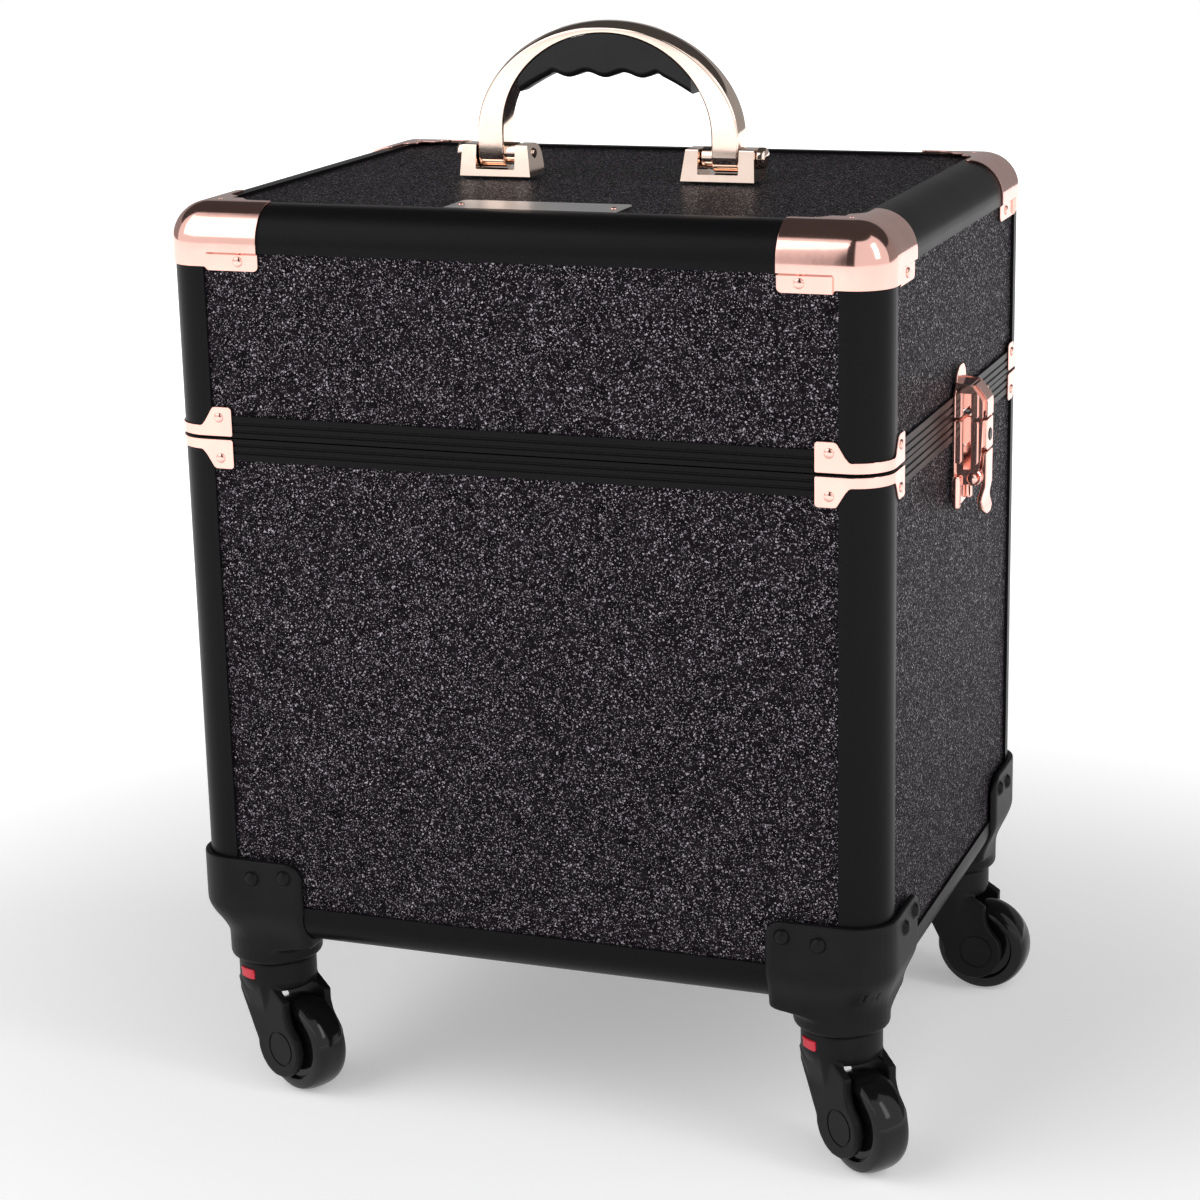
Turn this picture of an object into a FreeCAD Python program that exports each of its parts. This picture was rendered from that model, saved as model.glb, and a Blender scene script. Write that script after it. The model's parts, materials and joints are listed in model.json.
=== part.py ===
"""Rolling makeup train case: a parametric FreeCAD document, one object per physical piece.

Frame: millimetres, origin on the floor under the middle of the case, +X to the right-hand latch,
-Y to the wide front face, +Z up.  The rest pose is closed, latched, with the handle upright.
"""
import FreeCAD, Part
import math
import os
import Sketcher

Vector = FreeCAD.Vector
X, Y, Z = Vector(1, 0, 0), Vector(0, 1, 0), Vector(0, 0, 1)

doc = FreeCAD.newDocument("train_case")

# ---------------------------------------------------------------- driving dimensions
DIMENSIONS = {
    # body
    "width": 340,
    "deep": 268,
    "clearance": 81,            # floor to the underside of the case
    "base_height": 249.5,
    "lid_height": 106.5,
    "seam": 0.6,                # gap between the two rims
    "running": 0.05,            # radial clearance of pins and stems
    "slack": 0.3,               # clearance between other faces that pass each other
    "spare": 5,                 # how far a cutting block runs past what it cuts
    "glue_line": 0.1,
    # aluminium edge lengths and board panels
    "edge_radius": 17,
    "edge_face": 20.6,
    "edge_inside": 7,
    "slot_start": 13,
    "skin": 1.5,
    "board": 4,
    "lining": 2,
    # rims at the seam
    "rim_height": 10.4,
    "rim_slot": 5,
    "groove": 0.6,
    # rose-gold corner hardware
    "clamp_sheet": 0.8,
    "clamp_band": 5.5,
    "clamp_block": 20,          # half the height of the block the clamps are cut from
    "clamp_reach": 31,
    "clamp_tab": 13,
    "clamp_height": 14.5,
    "clamp_rivet": 9.5,         # height of the rivet from the seam
    "cap_sheet": 1,
    "cap_block": 60,
    "cap_front": 48,
    "cap_side": 50,
    "cap_top": 24,
    "cap_drop": 27,
    "cap_rivet": 38,            # from the side face
    "cap_rivet_drop": 24,
    "rivet_radius": 2.4,
    "rivet_head": 1,
    # caster housings
    "housing_wall": 3,
    "housing_reach": 55,
    "housing_rise": 43,
    "housing_foot": 6,
    "cup_radius": 22.5,
    "cup_drop": 14,
    "bolt_radius": 3.2,
    "bolt_head": 1.4,
    "near_bolt": 29,            # from the side face
    "near_bolt_rise": 34,       # from the floor of the case
    "far_bolt": 46,
    "far_bolt_rise": 36,
    # casters
    "swivel_inset": 26,
    "collar_radius": 19,
    "collar_height": 16,
    "stem_radius": 5,
    "wheel_radius": 24,
    "wheel_shoulder": 20.5,
    "wheel_width": 18,
    "trail": 18,
    "arm": 4.5,
    "arm_radius": 15.5,
    "arm_middle": 15.5,         # of the round end, from the swivel axis
    "neck": 11,                 # half the width of an arm under the collar
    "fork_half": 15,            # half the width over both arms
    "axle_radius": 3,
    "button_wide": 10,
    "button_high": 5,
    "button_proud": 0.6,
    "button_level": 7,          # above the bottom of the collar
    "button_travel": 1.5,
    # hinge
    "leaf_length": 240,
    "leaf_height": 24,
    "leaf_sheet": 1.2,
    "hinge_offset": 4,
    "knuckle_radius": 3.4,
    "hinge_pin_radius": 1.6,
    "leaf_edge": 4.5,           # from the seam
    # latches
    "latch_width": 28,
    "latch_deep": 15,
    "latch_cheek": 1.4,
    "latch_sheet": 1.2,
    "latch_inner": 17,
    "latch_low": 43,
    "latch_high": 24,
    "lock_height": 15,          # of the fixed lock body under the seam
    "lever_face": 12,
    "lever_length": 46,         # from the seam to the end of the tail
    "lever_gap": 0.7,
    "lever_radius": 4,
    "lever_pivot_out": 9,
    "lever_pivot_drop": 28,
    "latch_pin_radius": 1.5,
    "plug_radius": 3,
    "plug_drop": 8.4,
    "plug_deep": 5,
    "tail_height": 13,
    "tail_half": 8.64,
    "web_half": 2.8,
    "cheek_drop": 31,
    "cover_rise": 18,
    "flange_rise": 14.4,
    "catch_seat": 3.5,          # of the catch's body above the seam
    "plug_proud": 0.4,
    # handle
    "handle_pivot": 10.4,
    "handle_half": 64,
    "handle_top": 73.4,
    "handle_spring": 20,
    "handle_leg": 13.5,
    "handle_crown": 5.4,
    "handle_deep": 17,
    "foot_radius": 5,
    "bracket_near": 38,
    "bracket_far": 74,
    "bracket_deep": 20,
    "bracket_rise": 15,
    "bracket_cheek": 8,
    "bracket_base": 4.5,
    "grip_half": 43,
    "grip_drop": 24,
    "grip_side": 0.5,           # how far the grip stands back from the arch
    "grip_middle": 3,
    "grip_wave": 1.2,
    "grip_waves": 2.2,          # half waves on each side of the middle
    "grip_plain": 0.78,         # share of the half length that has waves
    "grip_fall": 9,             # of the underside at the ends
    "handle_pin_radius": 2.5,
    "handle_pin_head": 5,
    "handle_pin_out": 3.5,
    # name plate
    "plate_long": 82,
    "plate_wide": 28,
    "plate_sheet": 0.8,
    "plate_back": 36.5,         # middle of the plate, from the front face
    "plate_pin_inset": 4.5,
    "plate_pin_radius": 1.5,
}

dims = doc.addObject("Spreadsheet::Sheet", "Dims")
for row, (alias, number) in enumerate(DIMENSIONS.items(), 1):
    dims.set("A%d" % row, alias.replace("_", " "))
    dims.set("B%d" % row, str(number))
    dims.setAlias("B%d" % row, alias)
doc.recompute()


def text(expression):
    """The expression with every dimension's alias pointed at the sheet."""
    words = str(expression).replace("(", " ( ").replace(")", " ) ").split()
    return " ".join("Dims." + word if word in DIMENSIONS else word for word in words)


def size(expression):
    """The value of an expression of dimensions, in millimetres."""
    return float(dims.evalExpression(text(expression)))


def bind(thing, name, expression):
    thing.setExpression(name, text(expression))


# Faces of the case, as expressions of the sheet.
RIGHT = "( width / 2 )"
BACK = "( deep / 2 )"
FLOOR = "clearance"
SEAM = "( clearance + base_height )"
TOP = "( clearance + base_height + lid_height )"
PANEL_OUT = "( skin )"
PANEL_IN = "( skin + board )"

nodes = []


def node(thing, label):
    """Name a finished sub-part: its label is also the name of its file."""
    thing.Label = label
    nodes.append(thing)
    return thing


# ---------------------------------------------------------------- building blocks
def box(name, across, along, up):
    """A block between two expressions on each axis."""
    block = doc.addObject("Part::Box", name)
    for side, axis, (low, high) in zip(("Length", "Width", "Height"), "xyz", (across, along, up)):
        bind(block, side, "( %s ) - ( %s )" % (high, low))
        bind(block, "Placement.Base.%s" % axis, low)
    return block


TURN_TO = {"x": FreeCAD.Rotation(Z, X), "y": FreeCAD.Rotation(Z, Y), "z": FreeCAD.Rotation()}


def cylinder(name, radius, axis, low, high, across):
    """A round bar along one axis from low to high, at two expressions on the other axes."""
    bar = doc.addObject("Part::Cylinder", name)
    bind(bar, "Radius", radius)
    bind(bar, "Height", "( %s ) - ( %s )" % (high, low))
    bar.Placement = FreeCAD.Placement(Vector(), TURN_TO[axis])
    places = iter(across)
    for other in "xyz":
        bind(bar, "Placement.Base.%s" % other, low if other == axis else next(places))
    return bar


def cut(name, base, *tools):
    result = doc.addObject("Part::Cut", name)
    result.Base = base
    result.Tool = tools[0] if len(tools) == 1 else fuse(name + "_tools", *tools)
    return result


def fuse(name, *things):
    result = doc.addObject("Part::MultiFuse", name)
    result.Shapes = list(things)
    return result


def common(name, *things):
    result = doc.addObject("Part::MultiCommon", name)
    result.Shapes = list(things)
    return result


def group(name, *things):
    """Separate solids that share a node."""
    result = doc.addObject("Part::Compound", name)
    result.Links = list(things)
    return result


def mirror(name, source, normal):
    result = doc.addObject("Part::Mirroring", name)
    result.Source = source
    result.Base = Vector()
    result.Normal = normal
    return result


def pair(name, source, normal):
    """A piece and its mirror image."""
    return [source, mirror(name + "_mirrored", source, normal)]


def four(name, source):
    """A front-left piece and its mirror images at the other three corners."""
    right = mirror(name + "_front_right", source, X)
    return {
        "front_left": source,
        "front_right": right,
        "back_left": mirror(name + "_back_left", source, Y),
        "back_right": mirror(name + "_back_right", right, Y),
    }


def arc_between(start, end, radius):
    """The arc from start to end: it turns left for a positive radius and right for a negative one."""
    chord = end - start
    middle = (start + end) * 0.5
    rise = math.sqrt(max(radius * radius - chord.Length ** 2 / 4, 0))
    left = Vector(-chord.y, chord.x, 0).normalize()
    centre = middle + left * (rise if radius > 0 else -rise)
    first, last = (start, end) if radius > 0 else (end, start)
    angles = [math.atan2(point.y - centre.y, point.x - centre.x) for point in (first, last)]
    return Part.ArcOfCircle(Part.Circle(centre, Z, abs(radius)), *angles)


def outline(sketch, corners):
    """A closed outline bound to the sheet.  A corner is (across, up), or (across, up, turn, radius)
    where the edge that leaves it is an arc that turns "left" or "right"."""
    points = [Vector(size(corner[0]), size(corner[1]), 0) for corner in corners]
    starts, ends = [], []
    for index, corner in enumerate(corners):
        start, end = points[index], points[(index + 1) % len(points)]
        if len(corner) == 4:
            turn = 1 if corner[2] == "left" else -1
            edge = sketch.addGeometry(arc_between(start, end, turn * size(corner[3])), False)
            starts.append((edge, 1 if turn > 0 else 2))
            ends.append((edge, 2 if turn > 0 else 1))
        else:
            edge = sketch.addGeometry(Part.LineSegment(start, end), False)
            starts.append((edge, 1))
            ends.append((edge, 2))
    for index, corner in enumerate(corners):
        sketch.addConstraint(Sketcher.Constraint("Coincident", *ends[index - 1], *starts[index]))
        for kind, expression in (("DistanceX", corner[0]), ("DistanceY", corner[1])):
            place = Sketcher.Constraint(kind, -1, 1, *starts[index], size(expression))
            bind(sketch, "Constraints[%d]" % sketch.addConstraint(place), expression)
        if len(corner) == 4:
            radius = Sketcher.Constraint("Radius", starts[index][0], size(corner[3]))
            bind(sketch, "Constraints[%d]" % sketch.addConstraint(radius), corner[3])


def sketch_on(body, plane, corners):
    """A sketch on one of the body's own origin planes."""
    sketch = body.newObject("Sketcher::SketchObject", body.Name + "_sketch")
    face = [feature for feature in body.Origin.OriginFeatures if feature.Role == plane][0]
    sketch.AttachmentSupport = [(face, "")]
    sketch.MapMode = "FlatFace"
    outline(sketch, corners)
    return sketch


def padded_outline(name, corners, length, plane="XY_Plane", midplane=False):
    """A body made by padding one closed outline."""
    body = doc.addObject("PartDesign::Body", name)
    pad = body.newObject("PartDesign::Pad", name + "_pad")
    pad.Profile = sketch_on(body, plane, corners)
    bind(pad, "Length", length)
    pad.SideType = "Symmetric" if midplane else "One side"
    return body


def turned(thing, x_to, y_to, across, along, up):
    """Turn a piece so that its own x and y run along x_to and y_to, and put its origin in place."""
    thing.Placement = FreeCAD.Placement(Vector(), FreeCAD.Rotation(x_to, y_to, x_to.cross(y_to), "XYZ"))
    for axis, expression in zip("xyz", (across, along, up)):
        bind(thing, "Placement.Base.%s" % axis, expression)
    return thing


# ---------------------------------------------------------------- edge lengths
# Both legs of the section stand a skin's thickness proud of the boards that slide into their slots.
EDGE_SECTION = [
    ("edge_face", "0"),
    ("edge_face", "skin"),
    ("slot_start", "skin"),
    ("slot_start", PANEL_IN),
    ("edge_face", PANEL_IN),
    ("edge_face", "edge_inside"),
    ("edge_inside", "edge_inside"),
    ("edge_inside", "edge_face"),
    (PANEL_IN, "edge_face"),
    (PANEL_IN, "slot_start"),
    ("skin", "slot_start"),
    ("skin", "edge_face"),
    ("0", "edge_face"),
    ("0", "edge_radius", "left", "edge_radius"),
    ("edge_radius", "0"),
]


def edge_length(name, length, x_to, y_to, across, along, up):
    return turned(padded_outline(name, EDGE_SECTION, length), x_to, y_to, across, along, up)


LEFT_END = "- %s + edge_face" % RIGHT
FRONT_END = "- %s + edge_face" % BACK
WIDE_LENGTH = "width - 2 * edge_face"
DEEP_LENGTH = "deep - 2 * edge_face"

base_post = edge_length("base_post", "base_height - edge_face - seam / 2", X, Y,
                        "- " + RIGHT, "- " + BACK, FLOOR + " + edge_face")
lid_post = edge_length("lid_post", "lid_height - edge_face - seam / 2", X, Y,
                       "- " + RIGHT, "- " + BACK, SEAM + " + seam / 2")
base_wide_rail = edge_length("base_wide_rail", WIDE_LENGTH, Y, Z, LEFT_END, "- " + BACK, FLOOR)
base_deep_rail = edge_length("base_deep_rail", DEEP_LENGTH, X, Z, "- " + RIGHT, "- ( %s )" % FRONT_END, FLOOR)
lid_wide_rail = edge_length("lid_wide_rail", WIDE_LENGTH, -Z, Y, LEFT_END, "- " + BACK, TOP)
lid_deep_rail = edge_length("lid_deep_rail", DEEP_LENGTH, X, -Z, "- " + RIGHT, FRONT_END, TOP)

node(group("base_posts", *four("base_post", base_post).values()), "base_corner_posts")
node(group("lid_posts", *four("lid_post", lid_post).values()), "lid_corner_posts")
node(group("base_rails", *pair("base_wide_rail", base_wide_rail, Y),
           *pair("base_deep_rail", base_deep_rail, X)),
     "base_bottom_rails")
node(group("lid_rails", *pair("lid_wide_rail", lid_wide_rail, Y), *pair("lid_deep_rail", lid_deep_rail, X)),
     "lid_top_rails")

# ---------------------------------------------------------------- board panels
BETWEEN_POSTS = {
    "x": ("- %s + slot_start" % RIGHT, "%s - slot_start" % RIGHT),
    "y": ("- %s + slot_start" % BACK, "%s - slot_start" % BACK),
}
BASE_BOARD = (FLOOR + " + slot_start", SEAM + " - rim_slot")
LID_BOARD = (SEAM + " + rim_slot", TOP + " - slot_start")

for part, board in (("base", BASE_BOARD), ("lid", LID_BOARD)):
    for side, sign in (("front", "-"), ("back", "")):
        faces = ["%s ( %s - %s )" % (sign, BACK, depth) for depth in (PANEL_OUT, PANEL_IN)]
        along = faces if sign == "-" else faces[::-1]
        name = "%s_%s_panel" % (part, side)
        node(box(name, BETWEEN_POSTS["x"], along, board), name)
    for side, sign in (("left", "-"), ("right", "")):
        faces = ["%s ( %s - %s )" % (sign, RIGHT, depth) for depth in (PANEL_OUT, PANEL_IN)]
        across = faces if sign == "-" else faces[::-1]
        name = "%s_%s_panel" % (part, side)
        node(box(name, across, BETWEEN_POSTS["y"], board), name)

node(box("base_floor_panel", BETWEEN_POSTS["x"], BETWEEN_POSTS["y"],
         ("%s + %s" % (FLOOR, PANEL_OUT), "%s + %s" % (FLOOR, PANEL_IN))), "base_floor_panel")
node(box("lid_top_panel", BETWEEN_POSTS["x"], BETWEEN_POSTS["y"],
         ("%s - %s" % (TOP, PANEL_IN), "%s - %s" % (TOP, PANEL_OUT))), "lid_top_panel")

# ---------------------------------------------------------------- linings
LINING_OUT = "( edge_inside + glue_line )"
LINING_IN = "( edge_inside + glue_line + lining )"


def tray(name, depth, low, high):
    """A block inside the case, at a depth from its side faces."""
    return box(name, ("- %s + %s" % (RIGHT, depth), "%s - %s" % (RIGHT, depth)),
               ("- %s + %s" % (BACK, depth), "%s - %s" % (BACK, depth)), (low, high))


node(cut("base_liner",
         tray("base_liner_block", LINING_OUT, FLOOR + " + edge_inside", SEAM + " - 1"),
         tray("base_liner_room", LINING_IN, FLOOR + " + edge_inside + lining", SEAM + " + 1")), "base_lining")
node(cut("lid_liner",
         tray("lid_liner_block", LINING_OUT, SEAM + " + 1", TOP + " - edge_inside"),
         tray("lid_liner_room", LINING_IN, SEAM + " - 1", TOP + " - edge_inside - lining")), "lid_lining")

# ---------------------------------------------------------------- rims
# Depth from the face, and height from the seam: two shallow grooves outside, a board slot behind.
RIM_SECTION = [
    ("0", "seam / 2"),
    ("edge_inside", "seam / 2"),
    ("edge_inside", "rim_height"),
    (PANEL_IN, "rim_height"),
    (PANEL_IN, "rim_slot"),
    ("skin", "rim_slot"),
    ("skin", "rim_height"),
    ("0", "rim_height"),
    ("0", "rim_height * 0.72"),
    ("groove", "rim_height * 0.68"),
    ("groove", "rim_height * 0.62"),
    ("0", "rim_height * 0.58"),
    ("0", "rim_height * 0.38"),
    ("groove", "rim_height * 0.34"),
    ("groove", "rim_height * 0.28"),
    ("0", "rim_height * 0.24"),
]

RIM_TURNS = {
    "base_wide": (Y, -Z, "- ( %s )" % LEFT_END, "- " + BACK, WIDE_LENGTH),
    "base_deep": (X, -Z, "- " + RIGHT, FRONT_END, DEEP_LENGTH),
    "lid_wide": (Y, Z, LEFT_END, "- " + BACK, WIDE_LENGTH),
    "lid_deep": (X, Z, "- " + RIGHT, "- ( %s )" % FRONT_END, DEEP_LENGTH),
}
rims = {}
for name, (x_to, y_to, across, along, length) in RIM_TURNS.items():
    rims[name] = turned(padded_outline(name + "_rim", RIM_SECTION, length), x_to, y_to, across, along, SEAM)
for part in ("base", "lid"):
    wide = pair(part + "_wide_rim", rims[part + "_wide"], Y)
    deep = pair(part + "_deep_rim", rims[part + "_deep"], X)
    node(group(part + "_rims", *wide, *deep), part + "_rim")


# ---------------------------------------------------------------- corner hardware
def rounded_case(name, proud, low, high, bottom_round=False, top_round=False):
    """The case's outer volume, grown by proud, with its upright and chosen level edges rounded."""
    block = box(name + "_block", ("- %s - %s" % (RIGHT, proud), "%s + %s" % (RIGHT, proud)),
                ("- %s - %s" % (BACK, proud), "%s + %s" % (BACK, proud)), (low, high))
    doc.recompute()
    radius = size("edge_radius + %s" % proud)
    chosen = []
    for index, edge in enumerate(block.Shape.Edges, 1):
        box_z = edge.BoundBox
        upright = box_z.ZLength > 1
        at_top = not upright and box_z.ZMin > block.Shape.BoundBox.Center.z
        if upright or (at_top and top_round) or (not at_top and bottom_round):
            chosen.append((index, radius, radius))
    rounded = doc.addObject("Part::Fillet", name)
    rounded.Base = block
    rounded.Edges = chosen
    return rounded


def corner_region(name, across, along, low, high):
    """The block at the front-left corner, reaching inwards from just outside the case."""
    return box(name, ("- %s - spare" % RIGHT, "- %s + %s" % (RIGHT, across)),
               ("- %s - spare" % BACK, "- %s + %s" % (BACK, along)), (low, high))


def stud(name, radius, head, face, along, up, lift):
    """A rivet head on the front face ("front") or the left face ("left"), lift above that face."""
    if face == "front":
        low, high = "- %s - %s - %s" % (BACK, lift, head), "- %s - %s" % (BACK, lift)
        return cylinder(name, radius, "y", low, high, ("- %s + %s" % (RIGHT, along), up))
    low, high = "- %s - %s - %s" % (RIGHT, lift, head), "- %s - %s" % (RIGHT, lift)
    return cylinder(name, radius, "x", low, high, ("- %s + %s" % (BACK, along), up))


def seam_span(sign, far):
    """The heights of a clamp on one side of the seam: sign is "-" for the base and "+" for the lid."""
    ends = ("%s %s clamp_sheet" % (SEAM, sign), "%s %s ( %s )" % (SEAM, sign, far))
    return ends if sign == "+" else ends[::-1]


CLAMP_ENDS = (SEAM + " - clamp_block", SEAM + " + clamp_block")
clamp_outer = rounded_case("clamp_outer", "clamp_sheet", *CLAMP_ENDS)
clamp_inner = rounded_case("clamp_inner", "0", CLAMP_ENDS[0] + " - spare", CLAMP_ENDS[1] + " + spare")
clamp_shell = cut("clamp_shell", clamp_outer, clamp_inner)

CAP_LOW = TOP + " - cap_block"
cap_outer = rounded_case("cap_outer", "cap_sheet", CAP_LOW, TOP + " + cap_sheet", top_round=True)
cap_inner = rounded_case("cap_inner", "0", CAP_LOW + " - spare", TOP, top_round=True)
cap_shell = cut("cap_shell", cap_outer, cap_inner)

clamp_rivets = {}
for part, sign in (("base", "-"), ("lid", "+")):
    name = part + "_clamp"
    band_region = corner_region(name + "_reach", "clamp_reach", "clamp_reach", *seam_span(sign, "clamp_band"))
    band = common(name + "_band", clamp_shell, band_region)
    tab_low, tab_high = seam_span(sign, "clamp_height")
    front_tab = box(name + "_front_tab",
                    ("- %s + clamp_reach - clamp_tab" % RIGHT, "- %s + clamp_reach" % RIGHT),
                    ("- %s - clamp_sheet" % BACK, "- " + BACK), (tab_low, tab_high))
    side_tab = box(name + "_side_tab", ("- %s - clamp_sheet" % RIGHT, "- " + RIGHT),
                   ("- %s + clamp_reach - clamp_tab" % BACK, "- %s + clamp_reach" % BACK),
                   (tab_low, tab_high))
    clamp = fuse(name, band, front_tab, side_tab)
    node(group(part + "_clamps", *four(name, clamp).values()), part + "_rim_clamps")

    height = "%s %s clamp_rivet" % (SEAM, sign)
    middle = "( clamp_reach - clamp_tab / 2 )"
    clamp_rivets[part] = []
    for face in ("front", "left"):
        label = "%s_%s_rivet" % (name, face)
        rivet = stud(label, "rivet_radius", "rivet_head", face, middle, height, "clamp_sheet")
        clamp_rivets[part] += four(label, rivet).values()

CAP_SPAN = (TOP + " - cap_drop", TOP + " + spare")
cap_region = fuse("cap_region",
                  corner_region("cap_front_leg", "cap_front", "cap_top", *CAP_SPAN),
                  corner_region("cap_side_leg", "cap_top", "cap_side", *CAP_SPAN))
cap = common("cap", cap_shell, cap_region)
node(group("caps", *four("cap", cap).values()), "lid_corner_caps")

cap_rivets = []
for face in ("front", "left"):
    rivet = stud("cap_%s_rivet" % face, "rivet_radius", "rivet_head", face, "cap_rivet",
                 TOP + " - cap_rivet_drop", "cap_sheet")
    cap_rivets += four("cap_%s_rivet" % face, rivet).values()
plate_pins = []
PLATE_TOP = "%s - skin + plate_sheet" % TOP
PLATE_Y = "- %s + plate_back" % BACK
for name, across in (("left", "-"), ("right", "")):
    spot = ("%s ( plate_long / 2 - plate_pin_inset )" % across, PLATE_Y)
    pin = cylinder("plate_pin_" + name, "plate_pin_radius", "z", PLATE_TOP,
                   PLATE_TOP + " + plate_sheet", spot)
    plate_pins.append(pin)
node(group("base_rivets", *clamp_rivets["base"]), "base_clamp_rivets")
node(group("lid_rivet_group", *clamp_rivets["lid"], *cap_rivets, *plate_pins), "lid_rivets")

node(box("name_plate", ("- plate_long / 2", "plate_long / 2"),
         (PLATE_Y + " - plate_wide / 2", PLATE_Y + " + plate_wide / 2"),
         (TOP + " - skin", PLATE_TOP)), "name_plate")

# ---------------------------------------------------------------- caster housings
SWIVEL_X = "( width / 2 - swivel_inset )"
SWIVEL_Y = "( deep / 2 - swivel_inset )"
CUP_BOTTOM = "( clearance - cup_drop )"

HOUSING_SPAN = (FLOOR + " - housing_foot", FLOOR + " + housing_rise")
housing_outer = rounded_case("housing_outer", "housing_wall", *HOUSING_SPAN)
housing_corner = common("housing_corner", housing_outer,
                        corner_region("housing_region", "housing_reach", "housing_reach", *HOUSING_SPAN))
cup = cylinder("housing_cup", "cup_radius", "z", CUP_BOTTOM, FLOOR, ("- " + SWIVEL_X, "- " + SWIVEL_Y))
case_volume = rounded_case("case_volume", "0", FLOOR, SEAM, bottom_round=True)
socket = cylinder("housing_socket", "stem_radius + running", "z", CUP_BOTTOM + " - 1", FLOOR + " - 2",
                  ("- " + SWIVEL_X, "- " + SWIVEL_Y))
housing = cut("housing", fuse("housing_solid", housing_corner, cup), case_volume, socket)

housing_bolts = []
for face in ("front", "left"):
    for spot in ("near_bolt", "far_bolt"):
        name = "housing_%s_%s" % (face, spot)
        rise = "%s + %s_rise" % (FLOOR, spot)
        bolt = stud(name, "bolt_radius", "bolt_head", face, spot, rise, "housing_wall")
        housing_bolts += four(name, bolt).values()
for corner, piece in four("housing", housing).items():
    node(piece, "caster_housing_" + corner)
node(group("housing_bolts", *housing_bolts), "housing_rivets")

# ---------------------------------------------------------------- casters
# A caster is drawn about its swivel axis with the wheel trailing along +X, then turned and moved.
COLLAR_TOP = "( clearance - cup_drop - slack )"
COLLAR_BOTTOM = "( clearance - cup_drop - slack - collar_height )"
BUTTON_BOTTOM = COLLAR_BOTTOM + " + button_level"
ARM_TOP = COLLAR_BOTTOM + " + 2"
ARM_PROFILE = [
    ("- neck", ARM_TOP),
    ("arm_middle - arm_radius", "wheel_radius", "left", "arm_radius"),
    ("arm_middle", "wheel_radius - arm_radius", "left", "arm_radius"),
    ("arm_middle + arm_radius", "wheel_radius", "left", "arm_radius"),
    ("arm_middle + arm_radius * 0.6", "wheel_radius + arm_radius * 0.8"),
    ("neck", ARM_TOP),
]
# Swivel angle of each caster at rest, in degrees from +X.
SWIVELS = {
    "front_left": (-1, -1, -26),
    "front_right": (1, -1, -38),
    "back_left": (-1, 1, -15),
    "back_right": (1, 1, -4),
}


def placed(thing, corner):
    """Turn a finished caster piece to its rest angle and stand it at its corner."""
    side_x, side_y, angle = SWIVELS[corner]
    thing.Placement = FreeCAD.Placement(Vector(), FreeCAD.Rotation(Z, angle))
    bind(thing, "Placement.Base.x", "%d * %s" % (side_x, SWIVEL_X))
    bind(thing, "Placement.Base.y", "%d * %s" % (side_y, SWIVEL_Y))
    return thing


def caster_fork(name):
    collar = cylinder(name + "_collar", "collar_radius", "z", COLLAR_BOTTOM, COLLAR_TOP, ("0", "0"))
    stem = cylinder(name + "_stem", "stem_radius", "z", COLLAR_TOP, FLOOR + " - 3", ("0", "0"))
    arms = []
    for side, offset in (("near", "- fork_half"), ("far", "fork_half - arm")):
        arm = padded_outline("%s_%s_arm" % (name, side), ARM_PROFILE, "arm", plane="XY_Plane")
        arms.append(turned(arm, X, Z, "0", offset + " + arm", "0"))
    bore = cylinder(name + "_bore", "axle_radius", "y", "- collar_radius - 1", "collar_radius + 1",
                    ("trail", "wheel_radius"))
    pocket = box(name + "_pocket", ("- button_wide / 2 - 2 * running", "button_wide / 2 + 2 * running"),
                 ("- collar_radius - 1", "- collar_radius + 4"),
                 (BUTTON_BOTTOM + " - 2 * running", BUTTON_BOTTOM + " + button_high + 2 * running"))
    return cut(name, fuse(name + "_solid", collar, stem, *arms), bore, pocket)


# The tread is an arc through both shoulders and the full radius in the middle.
CROWN = "( wheel_radius - wheel_shoulder )"
TREAD_RADIUS = "( wheel_width ^ 2 / 4 + %s ^ 2 ) / ( 2 * %s )" % (CROWN, CROWN)


def caster_wheel(name):
    body = doc.addObject("PartDesign::Body", name)
    turn = body.newObject("PartDesign::Revolution", name + "_turn")
    turn.Profile = sketch_on(body, "XY_Plane", [
        ("axle_radius + running", "- wheel_width / 2"),
        ("wheel_shoulder", "- wheel_width / 2", "left", TREAD_RADIUS),
        ("wheel_shoulder", "wheel_width / 2"),
        ("axle_radius + running", "wheel_width / 2"),
    ])
    turn.ReferenceAxis = (turn.Profile[0], ["V_Axis"])
    turn.Angle = 360
    wrapper = group(name + "_upright", body)
    for axis, expression in zip("xyz", ("trail", "0", "wheel_radius")):
        bind(body, "Placement.Base.%s" % axis, expression)
    return wrapper


def caster_button(name):
    return common(name,
                  box(name + "_block", ("- button_wide / 2", "button_wide / 2"),
                      ("- collar_radius - button_proud - 1", "- collar_radius + 2"),
                      (BUTTON_BOTTOM, BUTTON_BOTTOM + " + button_high")),
                  cylinder(name + "_round", "collar_radius + button_proud", "z", COLLAR_BOTTOM, COLLAR_TOP,
                           ("0", "0")))


for corner in SWIVELS:
    node(placed(caster_fork("fork_" + corner), corner), "caster_fork_" + corner)
    axle = cylinder("axle_" + corner, "axle_radius", "y", "- fork_half - 0.6", "fork_half + 0.6",
                    ("trail", "wheel_radius"))
    node(placed(group("axle_group_" + corner, axle), corner), "caster_axle_" + corner)
    node(placed(caster_wheel("wheel_" + corner), corner), "caster_wheel_" + corner)
    node(placed(caster_button("button_" + corner), corner), "caster_button_" + corner)

# ---------------------------------------------------------------- lid hinge
HINGE_Y = "( %s + hinge_offset )" % BACK
KNUCKLES = 9
PITCH = "( leaf_length / %d )" % KNUCKLES


def knuckle_span(index):
    """One knuckle's ends along the hinge, a little short of its pitch at both ends."""
    return ("- leaf_length / 2 + %d * %s + slack / 2" % (index, PITCH),
            "- leaf_length / 2 + %d * %s - slack / 2" % (index + 1, PITCH))


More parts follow.
